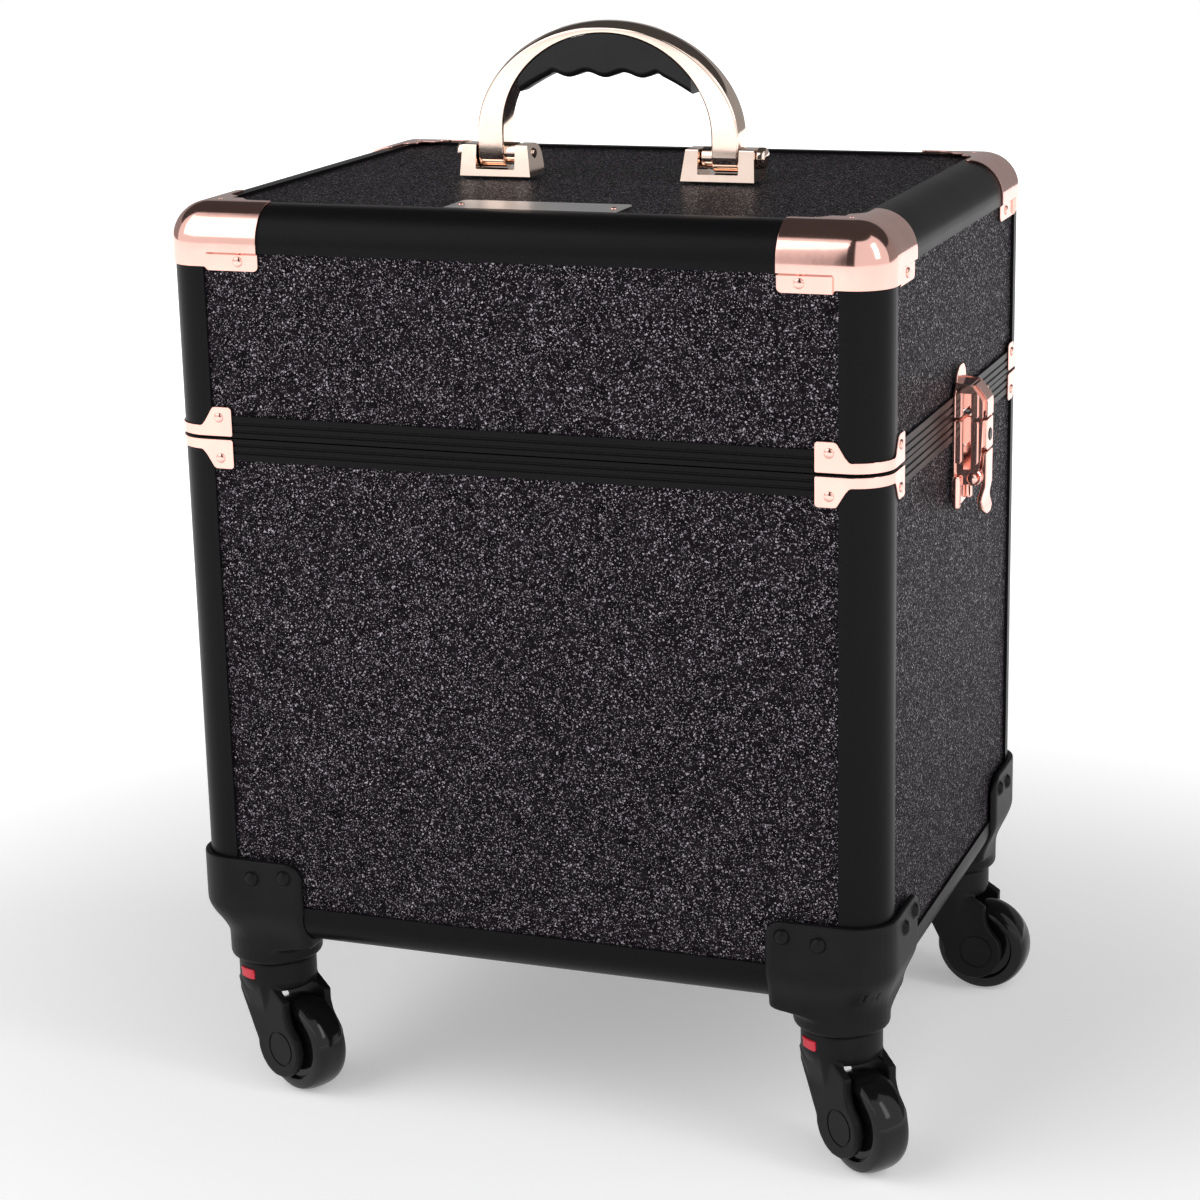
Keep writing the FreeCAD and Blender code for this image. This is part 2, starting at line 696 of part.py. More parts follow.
def hinge_leaf(name, first, low, high, tongue):
    """A leaf on the back face with every other knuckle, joined to it by tongues."""
    pieces = [box(name + "_plate", ("- leaf_length / 2", "leaf_length / 2"), (BACK, BACK + " + leaf_sheet"),
                  (low, high))]
    for index in range(first, KNUCKLES, 2):
        start, end = knuckle_span(index)
        label = "%s_%d" % (name, index)
        pieces.append(box(label + "_tongue", (start, end), (BACK, BACK + " + leaf_sheet"), tongue))
        pieces.append(cylinder(label + "_knuckle", "knuckle_radius", "x", start, end, (HINGE_Y, SEAM)))
    bore = cylinder(name + "_bore", "hinge_pin_radius + running", "x", "- leaf_length", "leaf_length",
                    (HINGE_Y, SEAM))
    return cut(name, fuse(name + "_solid", *pieces), bore)


LEAF_LOW, LEAF_HIGH = SEAM + " - leaf_edge", SEAM + " + leaf_edge"
lower_leaf = hinge_leaf("lower_leaf", 0, SEAM + " - leaf_height", LEAF_LOW, (LEAF_LOW, SEAM))
upper_leaf = hinge_leaf("upper_leaf", 1, LEAF_HIGH, SEAM + " + leaf_height", (SEAM, LEAF_HIGH))
node(lower_leaf, "hinge_lower_leaf")
node(upper_leaf, "hinge_upper_leaf")
node(cylinder("hinge_rod", "hinge_pin_radius", "x", "- leaf_length / 2 - 1", "leaf_length / 2 + 1",
              (HINGE_Y, SEAM)), "hinge_pin")

# ---------------------------------------------------------------- latches
# Drawn on the right face, then mirrored to the left one.
LEVER_X = "( %s + lever_pivot_out )" % RIGHT
LEVER_Z = "( %s - lever_pivot_drop )" % SEAM
FACE_OUT = "( %s + latch_deep )" % RIGHT


def cheeks(name, low, high, reach):
    """The two upright side walls of a latch half."""
    walls = []
    for side, sign in (("near", "-"), ("far", "")):
        ends = ["%s ( latch_inner / 2 )" % sign, "%s ( latch_inner / 2 + latch_cheek )" % sign]
        along = ends[::-1] if sign == "-" else ends
        walls.append(box("%s_%s_cheek" % (name, side), (RIGHT, reach), along, (low, high)))
    return walls


SHEET = (RIGHT, RIGHT + " + latch_sheet")
FULL_WIDTH = ("- latch_width / 2", "latch_width / 2")
FACE_WIDTH = ("- lever_face / 2", "lever_face / 2")
ABOVE, BELOW = SEAM + " + slack", SEAM + " - slack"
CHEEK_OUT = FACE_OUT + " - latch_cheek"

LOCK_END = SEAM + " - lock_height"
PLUG_SPOT = ("0", SEAM + " - plug_drop")
PLUG_ENDS = (FACE_OUT + " - plug_deep", FACE_OUT + " + plug_proud")

plate_low = box("latch_plate_low", SHEET, FULL_WIDTH, (SEAM + " - latch_low", BELOW))
plate_pin = cylinder("latch_plate_pin", "latch_pin_radius", "y", "- latch_inner / 2 - latch_cheek",
                     "latch_inner / 2 + latch_cheek", (LEVER_X, LEVER_Z))
lock_block = box("lock_block", (RIGHT, CHEEK_OUT), ("- latch_inner / 2", "latch_inner / 2"),
                 (LOCK_END + " + 2 * lever_gap", BELOW))
lock_face = box("lock_face", (CHEEK_OUT, FACE_OUT), FACE_WIDTH, (LOCK_END, BELOW))
plug_bore = cylinder("plug_bore", "plug_radius + running", "x", *PLUG_ENDS, PLUG_SPOT)
plate_solid = fuse("latch_plate_solid", plate_low, plate_pin, lock_block, lock_face,
                   *cheeks("latch_plate", SEAM + " - cheek_drop", BELOW, CHEEK_OUT))
latch_plate = cut("latch_plate", plate_solid, plug_bore)

CATCH_TOP = SEAM + " + cover_rise"
catch_flange = box("catch_flange", SHEET, FULL_WIDTH, (ABOVE, SEAM + " + flange_rise"))
catch_tongue = box("catch_tongue", SHEET, ("- latch_inner / 2", "latch_inner / 2"),
                   (ABOVE, SEAM + " + latch_high"))
catch_cover = box("catch_cover", (CHEEK_OUT, FACE_OUT), FACE_WIDTH, (ABOVE, CATCH_TOP))
catch_body = box("catch_body", (RIGHT, CHEEK_OUT), ("- latch_inner / 2", "latch_inner / 2"),
                 (SEAM + " + catch_seat", CATCH_TOP))
latch_catch = fuse("latch_catch", catch_flange, catch_tongue, catch_cover, catch_body,
                   *cheeks("latch_catch", ABOVE, CATCH_TOP, CHEEK_OUT))

BLADE = (FACE_OUT + " - 2 * latch_sheet", FACE_OUT)
TAIL_END = SEAM + " - lever_length"
lever_barrel = cylinder("lever_barrel", "lever_radius", "y", "- latch_inner / 2 + slack",
                        "latch_inner / 2 - slack", (LEVER_X, LEVER_Z))
lever_web = box("lever_web", (LEVER_X, FACE_OUT + " - latch_sheet"), FACE_WIDTH,
                (LEVER_Z + " - web_half", LEVER_Z + " + web_half"))
lever_blade = box("lever_blade", BLADE, FACE_WIDTH, (TAIL_END, LOCK_END + " - lever_gap"))
lever_tail = box("lever_tail", BLADE, ("- tail_half", "tail_half"),
                 (TAIL_END, TAIL_END + " + tail_height"))
lever_bore = cylinder("lever_bore", "latch_pin_radius + running", "y", "- latch_width", "latch_width",
                      (LEVER_X, LEVER_Z))
lever_solid = fuse("lever_solid", lever_barrel, lever_web, lever_blade, lever_tail)
latch_lever = cut("latch_lever", lever_solid, lever_bore)
lock_plug = cylinder("lock_plug", "plug_radius", "x", *PLUG_ENDS, PLUG_SPOT)
for piece, label in ((latch_plate, "latch_plate"), (latch_catch, "latch_catch"), (latch_lever, "latch_lever"),
                     (lock_plug, "lock_plug")):
    node(piece, label + "_right")
    node(mirror(piece.Name + "_left", piece, X), label + "_left")

# ---------------------------------------------------------------- handle
PIVOT_Z = "( %s + handle_pivot )" % TOP
PANEL_TOP = "( %s - skin )" % TOP

bracket_block = box("bracket_block", ("bracket_near", "bracket_far"),
                    ("- bracket_deep / 2", "bracket_deep / 2"),
                    (PANEL_TOP, TOP + " + bracket_rise"))
bracket_slot = box("bracket_slot", ("bracket_near + bracket_cheek", "bracket_far - bracket_cheek"),
                   ("- bracket_deep", "bracket_deep"),
                   (TOP + " + bracket_base", TOP + " + bracket_rise + spare"))
bracket_bore = cylinder("bracket_bore", "handle_pin_radius", "x", "bracket_near - spare",
                        "bracket_far + spare", ("0", PIVOT_Z))
bracket = cut("bracket", bracket_block, bracket_slot, bracket_bore)
node(group("brackets", *pair("bracket", bracket, X)), "handle_brackets")

pin_shank = cylinder("handle_pin_shank", "handle_pin_radius", "x", "bracket_near",
                     "bracket_far + handle_pin_out", ("0", PIVOT_Z))
pin_head = cylinder("handle_pin_head", "handle_pin_head", "x", "bracket_far + glue_line",
                    "bracket_far + handle_pin_out", ("0", PIVOT_Z))
handle_pin = fuse("handle_pin", pin_shank, pin_head)
node(group("handle_pins", *pair("handle_pin", handle_pin, X)), "handle_pivot_pins")


def half_ellipse(half_width, rise, springing, front):
    """The upper half of an upright ellipse in the plane y = front, from right to left over the top."""
    centre = Vector(0, front, springing)
    curve = Part.Ellipse(centre + X * half_width, centre + Z * rise, centre)
    return Part.ArcOfEllipse(curve, 0, math.pi).toShape()


def handle_shape():
    """An arch of flat bar, thin at the crown, on two narrow necks with a barrel foot on each pin."""
    springing = size(TOP + " + handle_spring")
    pivot = size(PIVOT_Z)
    outside = size("handle_half")
    inside = size("handle_half - handle_leg")
    deep = size("handle_deep")
    front = -deep / 2
    outer = half_ellipse(outside, size("handle_top - handle_spring"), springing, front)
    inner = half_ellipse(inside, size("handle_top - handle_spring - handle_crown"), springing, front)
    ends = [Part.makeLine(Vector(side * inside, front, springing), Vector(side * outside, front, springing))
            for side in (-1, 1)]
    face = Part.Face(Part.Wire(Part.__sortEdges__([outer, inner] + ends)))
    arch = face.extrude(Y * deep)
    foot_radius = size("foot_radius")
    neck_top = springing + size("bracket_base")
    solids = []
    trims = []
    slack = size("slack")
    spare = size("spare")
    foot_start = size("bracket_near + bracket_cheek") + slack
    foot_end = size("bracket_far - bracket_cheek") - slack
    for side in (-1, 1):
        start = side * foot_end if side < 0 else foot_start
        foot = Part.makeCylinder(foot_radius, foot_end - foot_start, Vector(start, 0, pivot), X)
        near = side * outside if side < 0 else inside
        neck = Part.makeBox(outside - inside, 2 * foot_radius, springing - pivot,
                            Vector(near, -foot_radius, pivot))
        solids += [foot, neck]
        for front in (-1, 1):
            low = -deep if front < 0 else foot_radius
            corner = Vector(near - spare, low, springing)
            wide = outside - inside + 2 * spare
            trims.append(Part.makeBox(wide, deep - foot_radius, neck_top - springing, corner))
    arch = arch.cut(Part.makeCompound(trims))
    bore_radius = size("handle_pin_radius + running")
    bore = Part.makeCylinder(bore_radius, 4 * outside, Vector(-2 * outside, 0, pivot), X)
    return arch.fuse(solids).removeSplitter().cut(bore)


def grip_shape():
    """The grip under the arch: four finger scallops along its underside."""
    springing = size(TOP + " + handle_spring")
    inside = size("handle_half - handle_leg")
    rise = size("handle_top - handle_spring - handle_crown")
    half = size("grip_half")
    deep = size("handle_deep - 2 * grip_side")
    front = -deep / 2
    base_line = Part.makeLine(Vector(-inside, front, springing), Vector(inside, front, springing))
    arch = Part.Face(Part.Wire([half_ellipse(inside, rise, springing, front), base_line]))
    level = springing + rise + size("grip_middle - grip_drop")
    wave = size("grip_wave")
    waves = size("grip_waves")
    plain = size("grip_plain")
    fall = size("grip_fall")
    under = []
    steps = 48
    for step in range(steps + 1):
        along = -half + 2 * half * step / steps
        taper = abs(along) / half
        scallop = wave * abs(math.sin(waves * math.pi * along / half)) if taper < plain else 0
        under.append(Vector(along, front, level + scallop - fall * taper ** 4))
    curve = Part.BSplineCurve()
    curve.interpolate(under)
    roof = springing + rise + size("spare")
    corners = [under[-1], Vector(half, front, roof), Vector(-half, front, roof), under[0]]
    sides = [Part.makeLine(start, end) for start, end in zip(corners, corners[1:])]
    above = Part.Face(Part.Wire([curve.toShape()] + sides))
    return arch.extrude(Y * deep).common(above.extrude(Y * deep))


for label, shape in (("handle_arch", handle_shape()), ("handle_grip", grip_shape())):
    feature = doc.addObject("Part::Feature", label + "_feature")
    feature.Shape = shape
    feature.Placement = FreeCAD.Placement()
    node(feature, label)

# ---------------------------------------------------------------- check and write
doc.recompute()
faults = [thing.Name for thing in doc.Objects if {"Invalid", "Error"} & set(thing.State)]
for piece in nodes:
    if piece.Shape.isNull() or not piece.Shape.isValid() or not piece.Shape.Solids:
        faults.append(piece.Label)
if faults:
    raise RuntimeError("faulty objects: " + ", ".join(faults))

os.makedirs("parts", exist_ok=True)
for piece in nodes:
    piece.Shape.exportStep("parts/%s.step" % piece.Label)
    print("%-28s %2d solid(s) %10.1f mm3" % (piece.Label, len(piece.Shape.Solids), piece.Shape.Volume))
print(len(nodes), "nodes")
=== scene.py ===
"""Looks of the rolling makeup train case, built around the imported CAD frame.

Lengths in this file are millimetres unless a name says otherwise; MM turns them into metres.
The four corners of the case are mirror images, so most pieces are drawn once at the front-left
corner and reflected.
"""
import json
import math

import bmesh
import bpy
from mathutils import Matrix, Vector


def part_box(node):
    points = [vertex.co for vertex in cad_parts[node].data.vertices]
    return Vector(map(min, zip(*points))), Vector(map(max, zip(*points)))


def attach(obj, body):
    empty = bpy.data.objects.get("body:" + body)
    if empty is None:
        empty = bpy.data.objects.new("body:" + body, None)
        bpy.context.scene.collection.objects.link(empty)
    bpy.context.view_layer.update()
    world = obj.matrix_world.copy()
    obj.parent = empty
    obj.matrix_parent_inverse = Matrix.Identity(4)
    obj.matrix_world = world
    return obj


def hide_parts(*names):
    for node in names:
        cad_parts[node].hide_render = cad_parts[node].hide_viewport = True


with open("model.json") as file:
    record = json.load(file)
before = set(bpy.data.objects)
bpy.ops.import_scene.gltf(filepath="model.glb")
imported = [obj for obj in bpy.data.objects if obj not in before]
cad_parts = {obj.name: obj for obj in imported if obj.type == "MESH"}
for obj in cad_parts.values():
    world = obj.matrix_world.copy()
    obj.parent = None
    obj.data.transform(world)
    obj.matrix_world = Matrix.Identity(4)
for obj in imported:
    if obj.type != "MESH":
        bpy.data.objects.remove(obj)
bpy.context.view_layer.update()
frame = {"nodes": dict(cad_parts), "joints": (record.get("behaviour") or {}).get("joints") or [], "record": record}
MM = 0.001

# ---------------- places from the frame
JOINTS = {joint["name"]: joint for joint in frame["joints"]}


def low(node):
    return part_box(node)[0] / MM


def high(node):
    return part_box(node)[1] / MM


HALF_W = high("base_corner_posts").x
HALF_D = high("base_corner_posts").y
BASE_Z = low("base_bottom_rails").z
TOP_Z = high("lid_top_rails").z
SEAM_Z = JOINTS["lid_hinge"]["pos_m"][2] / MM
EDGE_RADIUS = 17

WHITE = (1, 1, 1, 1)
scene = bpy.context.scene

# ---------------- materials
MATERIALS = {}


class Tree:
    """A node tree, with short calls to add nodes to it."""

    def __init__(self, tree):
        self.tree = tree

    def add(self, kind, inputs, **settings):
        node = self.tree.nodes.new("ShaderNode" + kind)
        for name, value in settings.items():
            setattr(node, name, value)
        for name, value in inputs.items():
            if isinstance(value, bpy.types.NodeSocket):
                self.tree.links.new(value, node.inputs[name])
            else:
                node.inputs[name].default_value = value
        return node

    def maths(self, operation, *values):
        return self.add("Math", dict(enumerate(values)), operation=operation).outputs["Value"]


class Nodes(Tree):
    """A material's nodes; MATERIALS keeps the material by its slot's name."""

    def __init__(self, name):
        material = MATERIALS[name] = bpy.data.materials.new(name)
        material.use_nodes = True
        super().__init__(material.node_tree)
        self.shader = self.tree.nodes["Principled BSDF"]
        self.place = self.add("TexCoord", {}).outputs["Object"]

    def set(self, **sockets):
        for name, value in sockets.items():
            self.shader.inputs[name.replace("_", " ")].default_value = value
        return self

    def noise(self, scale, detail=2.0, vector=None):
        inputs = {"Vector": vector or self.place, "Scale": scale, "Detail": detail, "Roughness": 0.5}
        return self.add("TexNoise", inputs).outputs["Fac"]

    def cells(self, scale):
        """One random colour for each Voronoi cell, split into Red, Green and Blue."""
        cells = self.add("TexVoronoi", {"Vector": self.place, "Scale": scale, "Randomness": 1.0})
        return self.add("SeparateColor", {"Color": cells.outputs["Color"]}).outputs

    def ramp(self, value, start, end, least=0.0):
        """value from least..1 mapped to start..end."""
        inputs = {"Value": value, "From Min": least, "To Min": start, "To Max": end}
        return self.add("MapRange", inputs).outputs["Result"]

    def colours(self, value, first, second, start=0.0, end=1.0):
        ramp = self.add("ValToRGB", {"Fac": value})
        ramp.color_ramp.elements[0].position = start
        ramp.color_ramp.elements[0].color = (*first, 1)
        ramp.color_ramp.elements[1].position = end
        ramp.color_ramp.elements[1].color = (*second, 1)
        return ramp.outputs["Color"]

    def link(self, output, socket):
        self.tree.links.new(output, self.shader.inputs[socket])

    def bump(self, height, distance, strength):
        inputs = {"Height": height, "Distance": distance, "Strength": strength}
        self.link(self.add("Bump", inputs).outputs["Normal"], "Normal")


def anodised_black():
    m = Nodes("anodised_black").set(Specular_IOR_Level=0.07)
    grain = m.noise(900, 3)
    m.link(m.colours(grain, (0.0045, 0.0042, 0.0048), (0.0075, 0.0070, 0.0078)), "Base Color")
    m.link(m.ramp(m.noise(35, 3), 0.30, 0.38), "Roughness")
    m.bump(grain, 0.00002, 0.35)


def glitter_board():
    """Dark film full of flakes: each flake is one Voronoi cell with its own tilt, size and brightness."""
    m = Nodes("glitter_board").set(Specular_IOR_Level=0.005)
    coarse, fine = m.cells(1500.0), m.cells(2900.0)
    spots = m.maths("MAXIMUM", m.ramp(coarse["Red"], 0.0, 1.0, 0.90), m.ramp(fine["Green"], 0.0, 1.0, 0.88))
    ground = m.colours(m.noise(160, 3), (0.0050, 0.0040, 0.0053), (0.0145, 0.0120, 0.0150), 0.3, 0.75)
    flake = m.colours(spots, (0.010, 0.009, 0.011), (0.40, 0.36, 0.40))
    # a Mix node's colour inputs are its sockets 6 and 7, and its colour output is number 2
    mix = m.add("Mix", {0: spots, 6: ground, 7: flake}, data_type="RGBA")
    m.link(mix.outputs[2], "Base Color")
    m.link(m.ramp(spots, 0.0, 0.85), "Metallic")
    m.link(m.ramp(coarse["Blue"], 0.55, 0.28), "Roughness")
    m.bump(m.maths("ADD", coarse["Green"], fine["Red"]), 0.0002, 0.35)


def plated(name, colour, roughness, ripple=0.25):
    """Polished plating with a faint ripple and slightly uneven gloss."""
    m = Nodes(name).set(Metallic=1.0)
    darker = tuple(channel * 0.93 for channel in colour)
    m.link(m.colours(m.noise(90, 2), darker, colour, 0.3, 0.7), "Base Color")
    m.link(m.ramp(m.noise(60, 4), roughness * 0.8, roughness * 1.3), "Roughness")
    m.bump(m.noise(140, 2), 0.0001, ripple)


def brushed(name, colour, roughness):
    """Plate with fine lines along x."""
    m = Nodes(name).set(Metallic=1.0)
    stretch = m.add("Mapping", {"Vector": m.place, "Scale": (120, 6000, 6000)})
    lines = m.noise(1.0, 3, stretch.outputs["Vector"])
    darker = tuple(channel * 0.82 for channel in colour)
    m.link(m.colours(lines, darker, colour, 0.3, 0.7), "Base Color")
    m.link(m.ramp(lines, roughness * 0.8, roughness * 1.3), "Roughness")
    m.bump(lines, 0.00003, 0.4)


def moulded(name, dark, light, roughness, grain=0.00006, scale=1400, specular=0.5):
    """Moulded plastic or rubber: fine even grain, a little colour variation."""
    m = Nodes(name).set(Specular_IOR_Level=specular)
    m.link(m.colours(m.noise(70, 3), dark, light, 0.3, 0.7), "Base Color")
    m.link(m.ramp(m.noise(45, 3), roughness - 0.04, roughness + 0.05), "Roughness")
    m.bump(m.noise(scale, 2), grain, 0.5)


def lining_fabric():
    """A plain weave with a faint sheen."""
    m = Nodes("lining_black").set(Specular_IOR_Level=0.2, Sheen_Weight=0.25, Sheen_Roughness=0.5)
    wave = {"Vector": m.place, "Scale": 260.0, "Distortion": 1.0}
    warp, weft = (m.add("TexWave", wave, bands_direction=axis).outputs["Fac"] for axis in "XZ")
    weave = m.maths("MULTIPLY", warp, weft)
    m.link(m.colours(weave, (0.010, 0.010, 0.011), (0.032, 0.031, 0.034)), "Base Color")
    m.link(m.ramp(m.noise(300, 3), 0.82, 0.95), "Roughness")
    m.bump(weave, 0.0002, 0.5)


anodised_black()
glitter_board()
plated("rose_gold", (0.88, 0.52, 0.45), 0.11)
plated("champagne_gold", (0.94, 0.75, 0.64), 0.08, 0.12)
brushed("silver_plate", (0.80, 0.79, 0.79), 0.30)
moulded("black_plastic", (0.0050, 0.0047, 0.0053), (0.0080, 0.0077, 0.0085), 0.42, specular=0.13)
moulded("black_grip", (0.006, 0.006, 0.0065), (0.010, 0.010, 0.011), 0.36, 0.00004, 1800, 0.3)
moulded("wheel_black", (0.004, 0.004, 0.0045), (0.007, 0.007, 0.0075), 0.10, 0.000005, 500, 0.3)
moulded("red_plastic", (0.50, 0.012, 0.030), (0.60, 0.022, 0.045), 0.35, 0.00002, 900)
lining_fabric()
plated("steel", (0.62, 0.62, 0.63), 0.22)
moulded("black_steel", (0.010, 0.010, 0.011), (0.016, 0.016, 0.017), 0.32, 0.00003, 700)
plated("key_plug", (0.030, 0.028, 0.028), 0.35)

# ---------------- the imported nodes
NODE_SLOT = {item["node"]: item["material_slot"] for item in frame["record"]["subparts"]}
BODIES = frame["record"]["behaviour"]["bodies"]
NODE_BODY = {node: body for body, nodes in BODIES.items() for node in nodes}
for name, thing in frame["nodes"].items():
    thing.data.materials.clear()
    thing.data.materials.append(MATERIALS[NODE_SLOT[name]])

# ---------------- mesh building
X, Y, Z = Vector((1, 0, 0)), Vector((0, 1, 0)), Vector((0, 0, 1))
# How the front-left corner's pieces reach the other three, as signs of x and y.
CORNERS = {"front_left": (1, 1), "front_right": (-1, 1), "back_left": (1, -1), "back_right": (-1, -1)}


def ease(value, start, end):
    """0 at start and 1 at end, with a smooth turn at both."""
    share = min(1, max(0, (value - start) / (end - start)))
    return share * share * (3 - 2 * share)


def arc(centre, radius, start, end, steps=8):
    """Points of an arc, from one angle in degrees to another."""
    angles = [math.radians(start + (end - start) * step / steps) for step in range(steps + 1)]
    return [(centre[0] + radius * math.cos(angle), centre[1] + radius * math.sin(angle)) for angle in angles]


def rounded(corners, steps=6):
    """A closed outline from corners (x, y) or (x, y, radius): each radius becomes an arc."""
    points = []
    for index, corner in enumerate(corners):
        here = Vector(corner[:2])
        if len(corner) == 2:
            points.append(tuple(here))
            continue
        before = (Vector(corners[index - 1][:2]) - here).normalized()
        after = (Vector(corners[(index + 1) % len(corners)][:2]) - here).normalized()
        half = before.angle(after) / 2
        centre = here + (before + after).normalized() * corner[2] / math.sin(half)
        first = here + before * corner[2] / math.tan(half) - centre
        last = here + after * corner[2] / math.tan(half) - centre
        start, turn = math.atan2(first.y, first.x), math.atan2(last.y, last.x)
        turn = (turn - start + math.pi) % (2 * math.pi) - math.pi
        points += arc(centre, corner[2], math.degrees(start), math.degrees(start + turn), steps)
    return points


def rectangle(left, low, right, high, low_radius, high_radius, steps=6):
    """A closed outline with one radius for the two low corners and one for the two high ones."""
    return rounded([(left, low, low_radius), (right, low, low_radius), (right, high, high_radius),
                    (left, high, high_radius)], steps)


def slab(outline, low, high):
    """A plate with the outline in its own x and y, from z = low to z = high."""
    bm = bmesh.new()
    face = bm.faces.new([bm.verts.new((x, y, low)) for x, y in outline])
    top = bmesh.ops.extrude_face_region(bm, geom=[face])["geom"]
    verts = [item for item in top if isinstance(item, bmesh.types.BMVert)]
    bmesh.ops.translate(bm, vec=(0, 0, high - low), verts=verts)
    bmesh.ops.recalc_face_normals(bm, faces=bm.faces)
    return bm


def block(low_corner, high_corner):
    (x0, y0, z0), (x1, y1, z1) = low_corner, high_corner
    return slab([(x0, y0), (x1, y0), (x1, y1), (x0, y1)], z0, z1)


def placed(bm, x_to=X, y_to=Y, at=(0, 0, 0)):
    """Turn a mesh so that its own x and y run along x_to and y_to, and move its origin."""
    turn = Matrix((x_to, y_to, x_to.cross(y_to))).transposed().to_4x4()
    bmesh.ops.transform(bm, matrix=Matrix.Translation(at) @ turn, verts=bm.verts)
    return bm


def moved(bm, x=0.0, y=0.0, z=0.0):
    bmesh.ops.translate(bm, vec=(x, y, z), verts=bm.verts)
    return bm


def joined(meshes):
    """One mesh of several; the others are used up."""
    result = bmesh.new()
    for bm in meshes:
        work = bpy.data.meshes.new("work")
        bm.to_mesh(work)
        bm.free()
        result.from_mesh(work)
        bpy.data.meshes.remove(work)
    return result


def reflected(bm, sign_x=1, sign_y=1, sign_z=1):
    """A mirrored copy."""
    copy = bm.copy()
    bmesh.ops.transform(copy, matrix=Matrix.Diagonal((sign_x, sign_y, sign_z, 1)), verts=copy.verts)
    if sign_x * sign_y * sign_z < 0:
        bmesh.ops.reverse_faces(copy, faces=copy.faces)
    return copy


def all_corners(bm):
    """A front-left piece and its reflections at the other corners."""
    return joined([reflected(bm, *signs) for signs in CORNERS.values()])


def both_sides(bm):
    return joined([bm.copy(), reflected(bm, sign_x=-1)])


def stitched(bm, rings):
    """Faces between each ring of vertices and the next; a ring may be one vertex."""
    count = max(len(ring) for ring in rings)
    for first, second in zip(rings, rings[1:]):
        for index in range(count):
            after = (index + 1) % count
            corners = (first[index % len(first)], first[after % len(first)],
                       second[after % len(second)], second[index % len(second)])
            bm.faces.new(list(dict.fromkeys(corners)))


def swept(sections):
    """A skin over sections with the same number of points, closed at both ends."""
    bm = bmesh.new()
    rings = [[bm.verts.new(point) for point in section] for section in sections]
    stitched(bm, rings)
    bm.faces.new(rings[0][::-1])
    bm.faces.new(rings[-1])
    bmesh.ops.recalc_face_normals(bm, faces=bm.faces)
    return bm


def lathe(profile, steps=48):
    """A profile of (radius, height) turned about the z axis; an end with radius 0 closes on the axis."""
    bm = bmesh.new()
    rings = []
    for radius, height in profile:
        angles = [2 * math.pi * step / steps for step in range(steps if radius else 1)]
        rings.append([bm.verts.new((radius * math.cos(a), radius * math.sin(a), height)) for a in angles])
    if profile[0][0] and profile[-1][0]:
        rings.append(rings[0])
    stitched(bm, rings)
    bmesh.ops.recalc_face_normals(bm, faces=bm.faces)
    return bm


def rod(radius, low, high, steps=32):
    """A plain round bar about the z axis."""
    return lathe([(0, low), (radius, low), (radius, high), (0, high)], steps)


def barrel(bore, radius, low, high, chamfer, steps=36):
    """A round bar, or a tube if it has a bore, about the z axis, with chamfered ends."""
    edge = radius - chamfer
    return lathe([(bore, low), (edge, low), (radius, low + chamfer), (radius, high - chamfer), (edge, high),
                  (bore, high)], steps)


def shown(name, data):
    """A new object in the scene."""
    thing = bpy.data.objects.new(name, data)
    scene.collection.objects.link(thing)
    return thing


def linked(name, bm):
    """A scene object of a mesh, which is used up."""
    mesh = bpy.data.meshes.new(name)
    bm.to_mesh(mesh)
    bm.free()
    return shown(name, mesh)


def dropped(thing):
    mesh = thing.data
    bpy.data.objects.remove(thing)
    bpy.data.meshes.remove(mesh)


def evaluated(bm, kind, settings):
    """A mesh after one modifier."""
    thing = linked("work", bm)
    modifier = thing.modifiers.new(kind, kind)
    for name, value in settings.items():
        setattr(modifier, name, value)
    bpy.context.view_layer.update()
    result = bmesh.new()
    shape = thing.evaluated_get(bpy.context.evaluated_depsgraph_get())
    result.from_mesh(shape.to_mesh())
    shape.to_mesh_clear()
    dropped(thing)
    return result


def combined(bm, other, operation):
    """The boolean DIFFERENCE, UNION or INTERSECT of two closed meshes, which are both used up."""
    thing = linked("other", other)
    result = evaluated(bm, "BOOLEAN", {"operation": operation, "object": thing, "solver": "EXACT"})
    dropped(thing)
    return result


def softened(bm, width, segments=2, angle=35):
    """Round every edge sharper than the angle."""
    settings = {"width": width, "segments": segments, "limit_method": "ANGLE",
                "angle_limit": math.radians(angle), "use_clamp_overlap": True, "harden_normals": False}
    return evaluated(bm, "BEVEL", settings)


def moulded_shape(bm, voxel):
    """One smooth skin over overlapping closed shapes."""
    bm = evaluated(bm, "REMESH", {"mode": "VOXEL", "voxel_size": voxel, "adaptivity": 0.0})
    axes = {"use_axis_" + axis: True for axis in "xyz"}
    for _ in range(3):
        bmesh.ops.smooth_vert(bm, verts=bm.verts, factor=0.5, **axes)
    return bm


def sliced(bm, axis, places):
    """Cut a mesh by planes square to an axis, keeping both sides."""
    normal = (X, Y, Z)[axis]
    for place in places:
        geometry = bm.verts[:] + bm.edges[:] + bm.faces[:]
        bmesh.ops.bisect_plane(bm, geom=geometry, plane_co=normal * place, plane_no=normal, dist=1e-5)
    return bm


def piece(name, bm, node, angle=40):
    """Make a finished object of a mesh in millimetres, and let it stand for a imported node."""
    slot = NODE_SLOT[node]
    bmesh.ops.remove_doubles(bm, verts=bm.verts, dist=0.0005)
    thing = linked(name, bm)
    mesh = thing.data
    mesh.transform(Matrix.Scale(MM, 4))
    mesh.shade_smooth()
    mesh.set_sharp_from_angle(angle=math.radians(angle))
    mesh.materials.append(MATERIALS[slot])
    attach(thing, NODE_BODY[node])
    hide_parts(node)
    thing.modifiers.new("face weights", "WEIGHTED_NORMAL").keep_sharp = True
    return thing


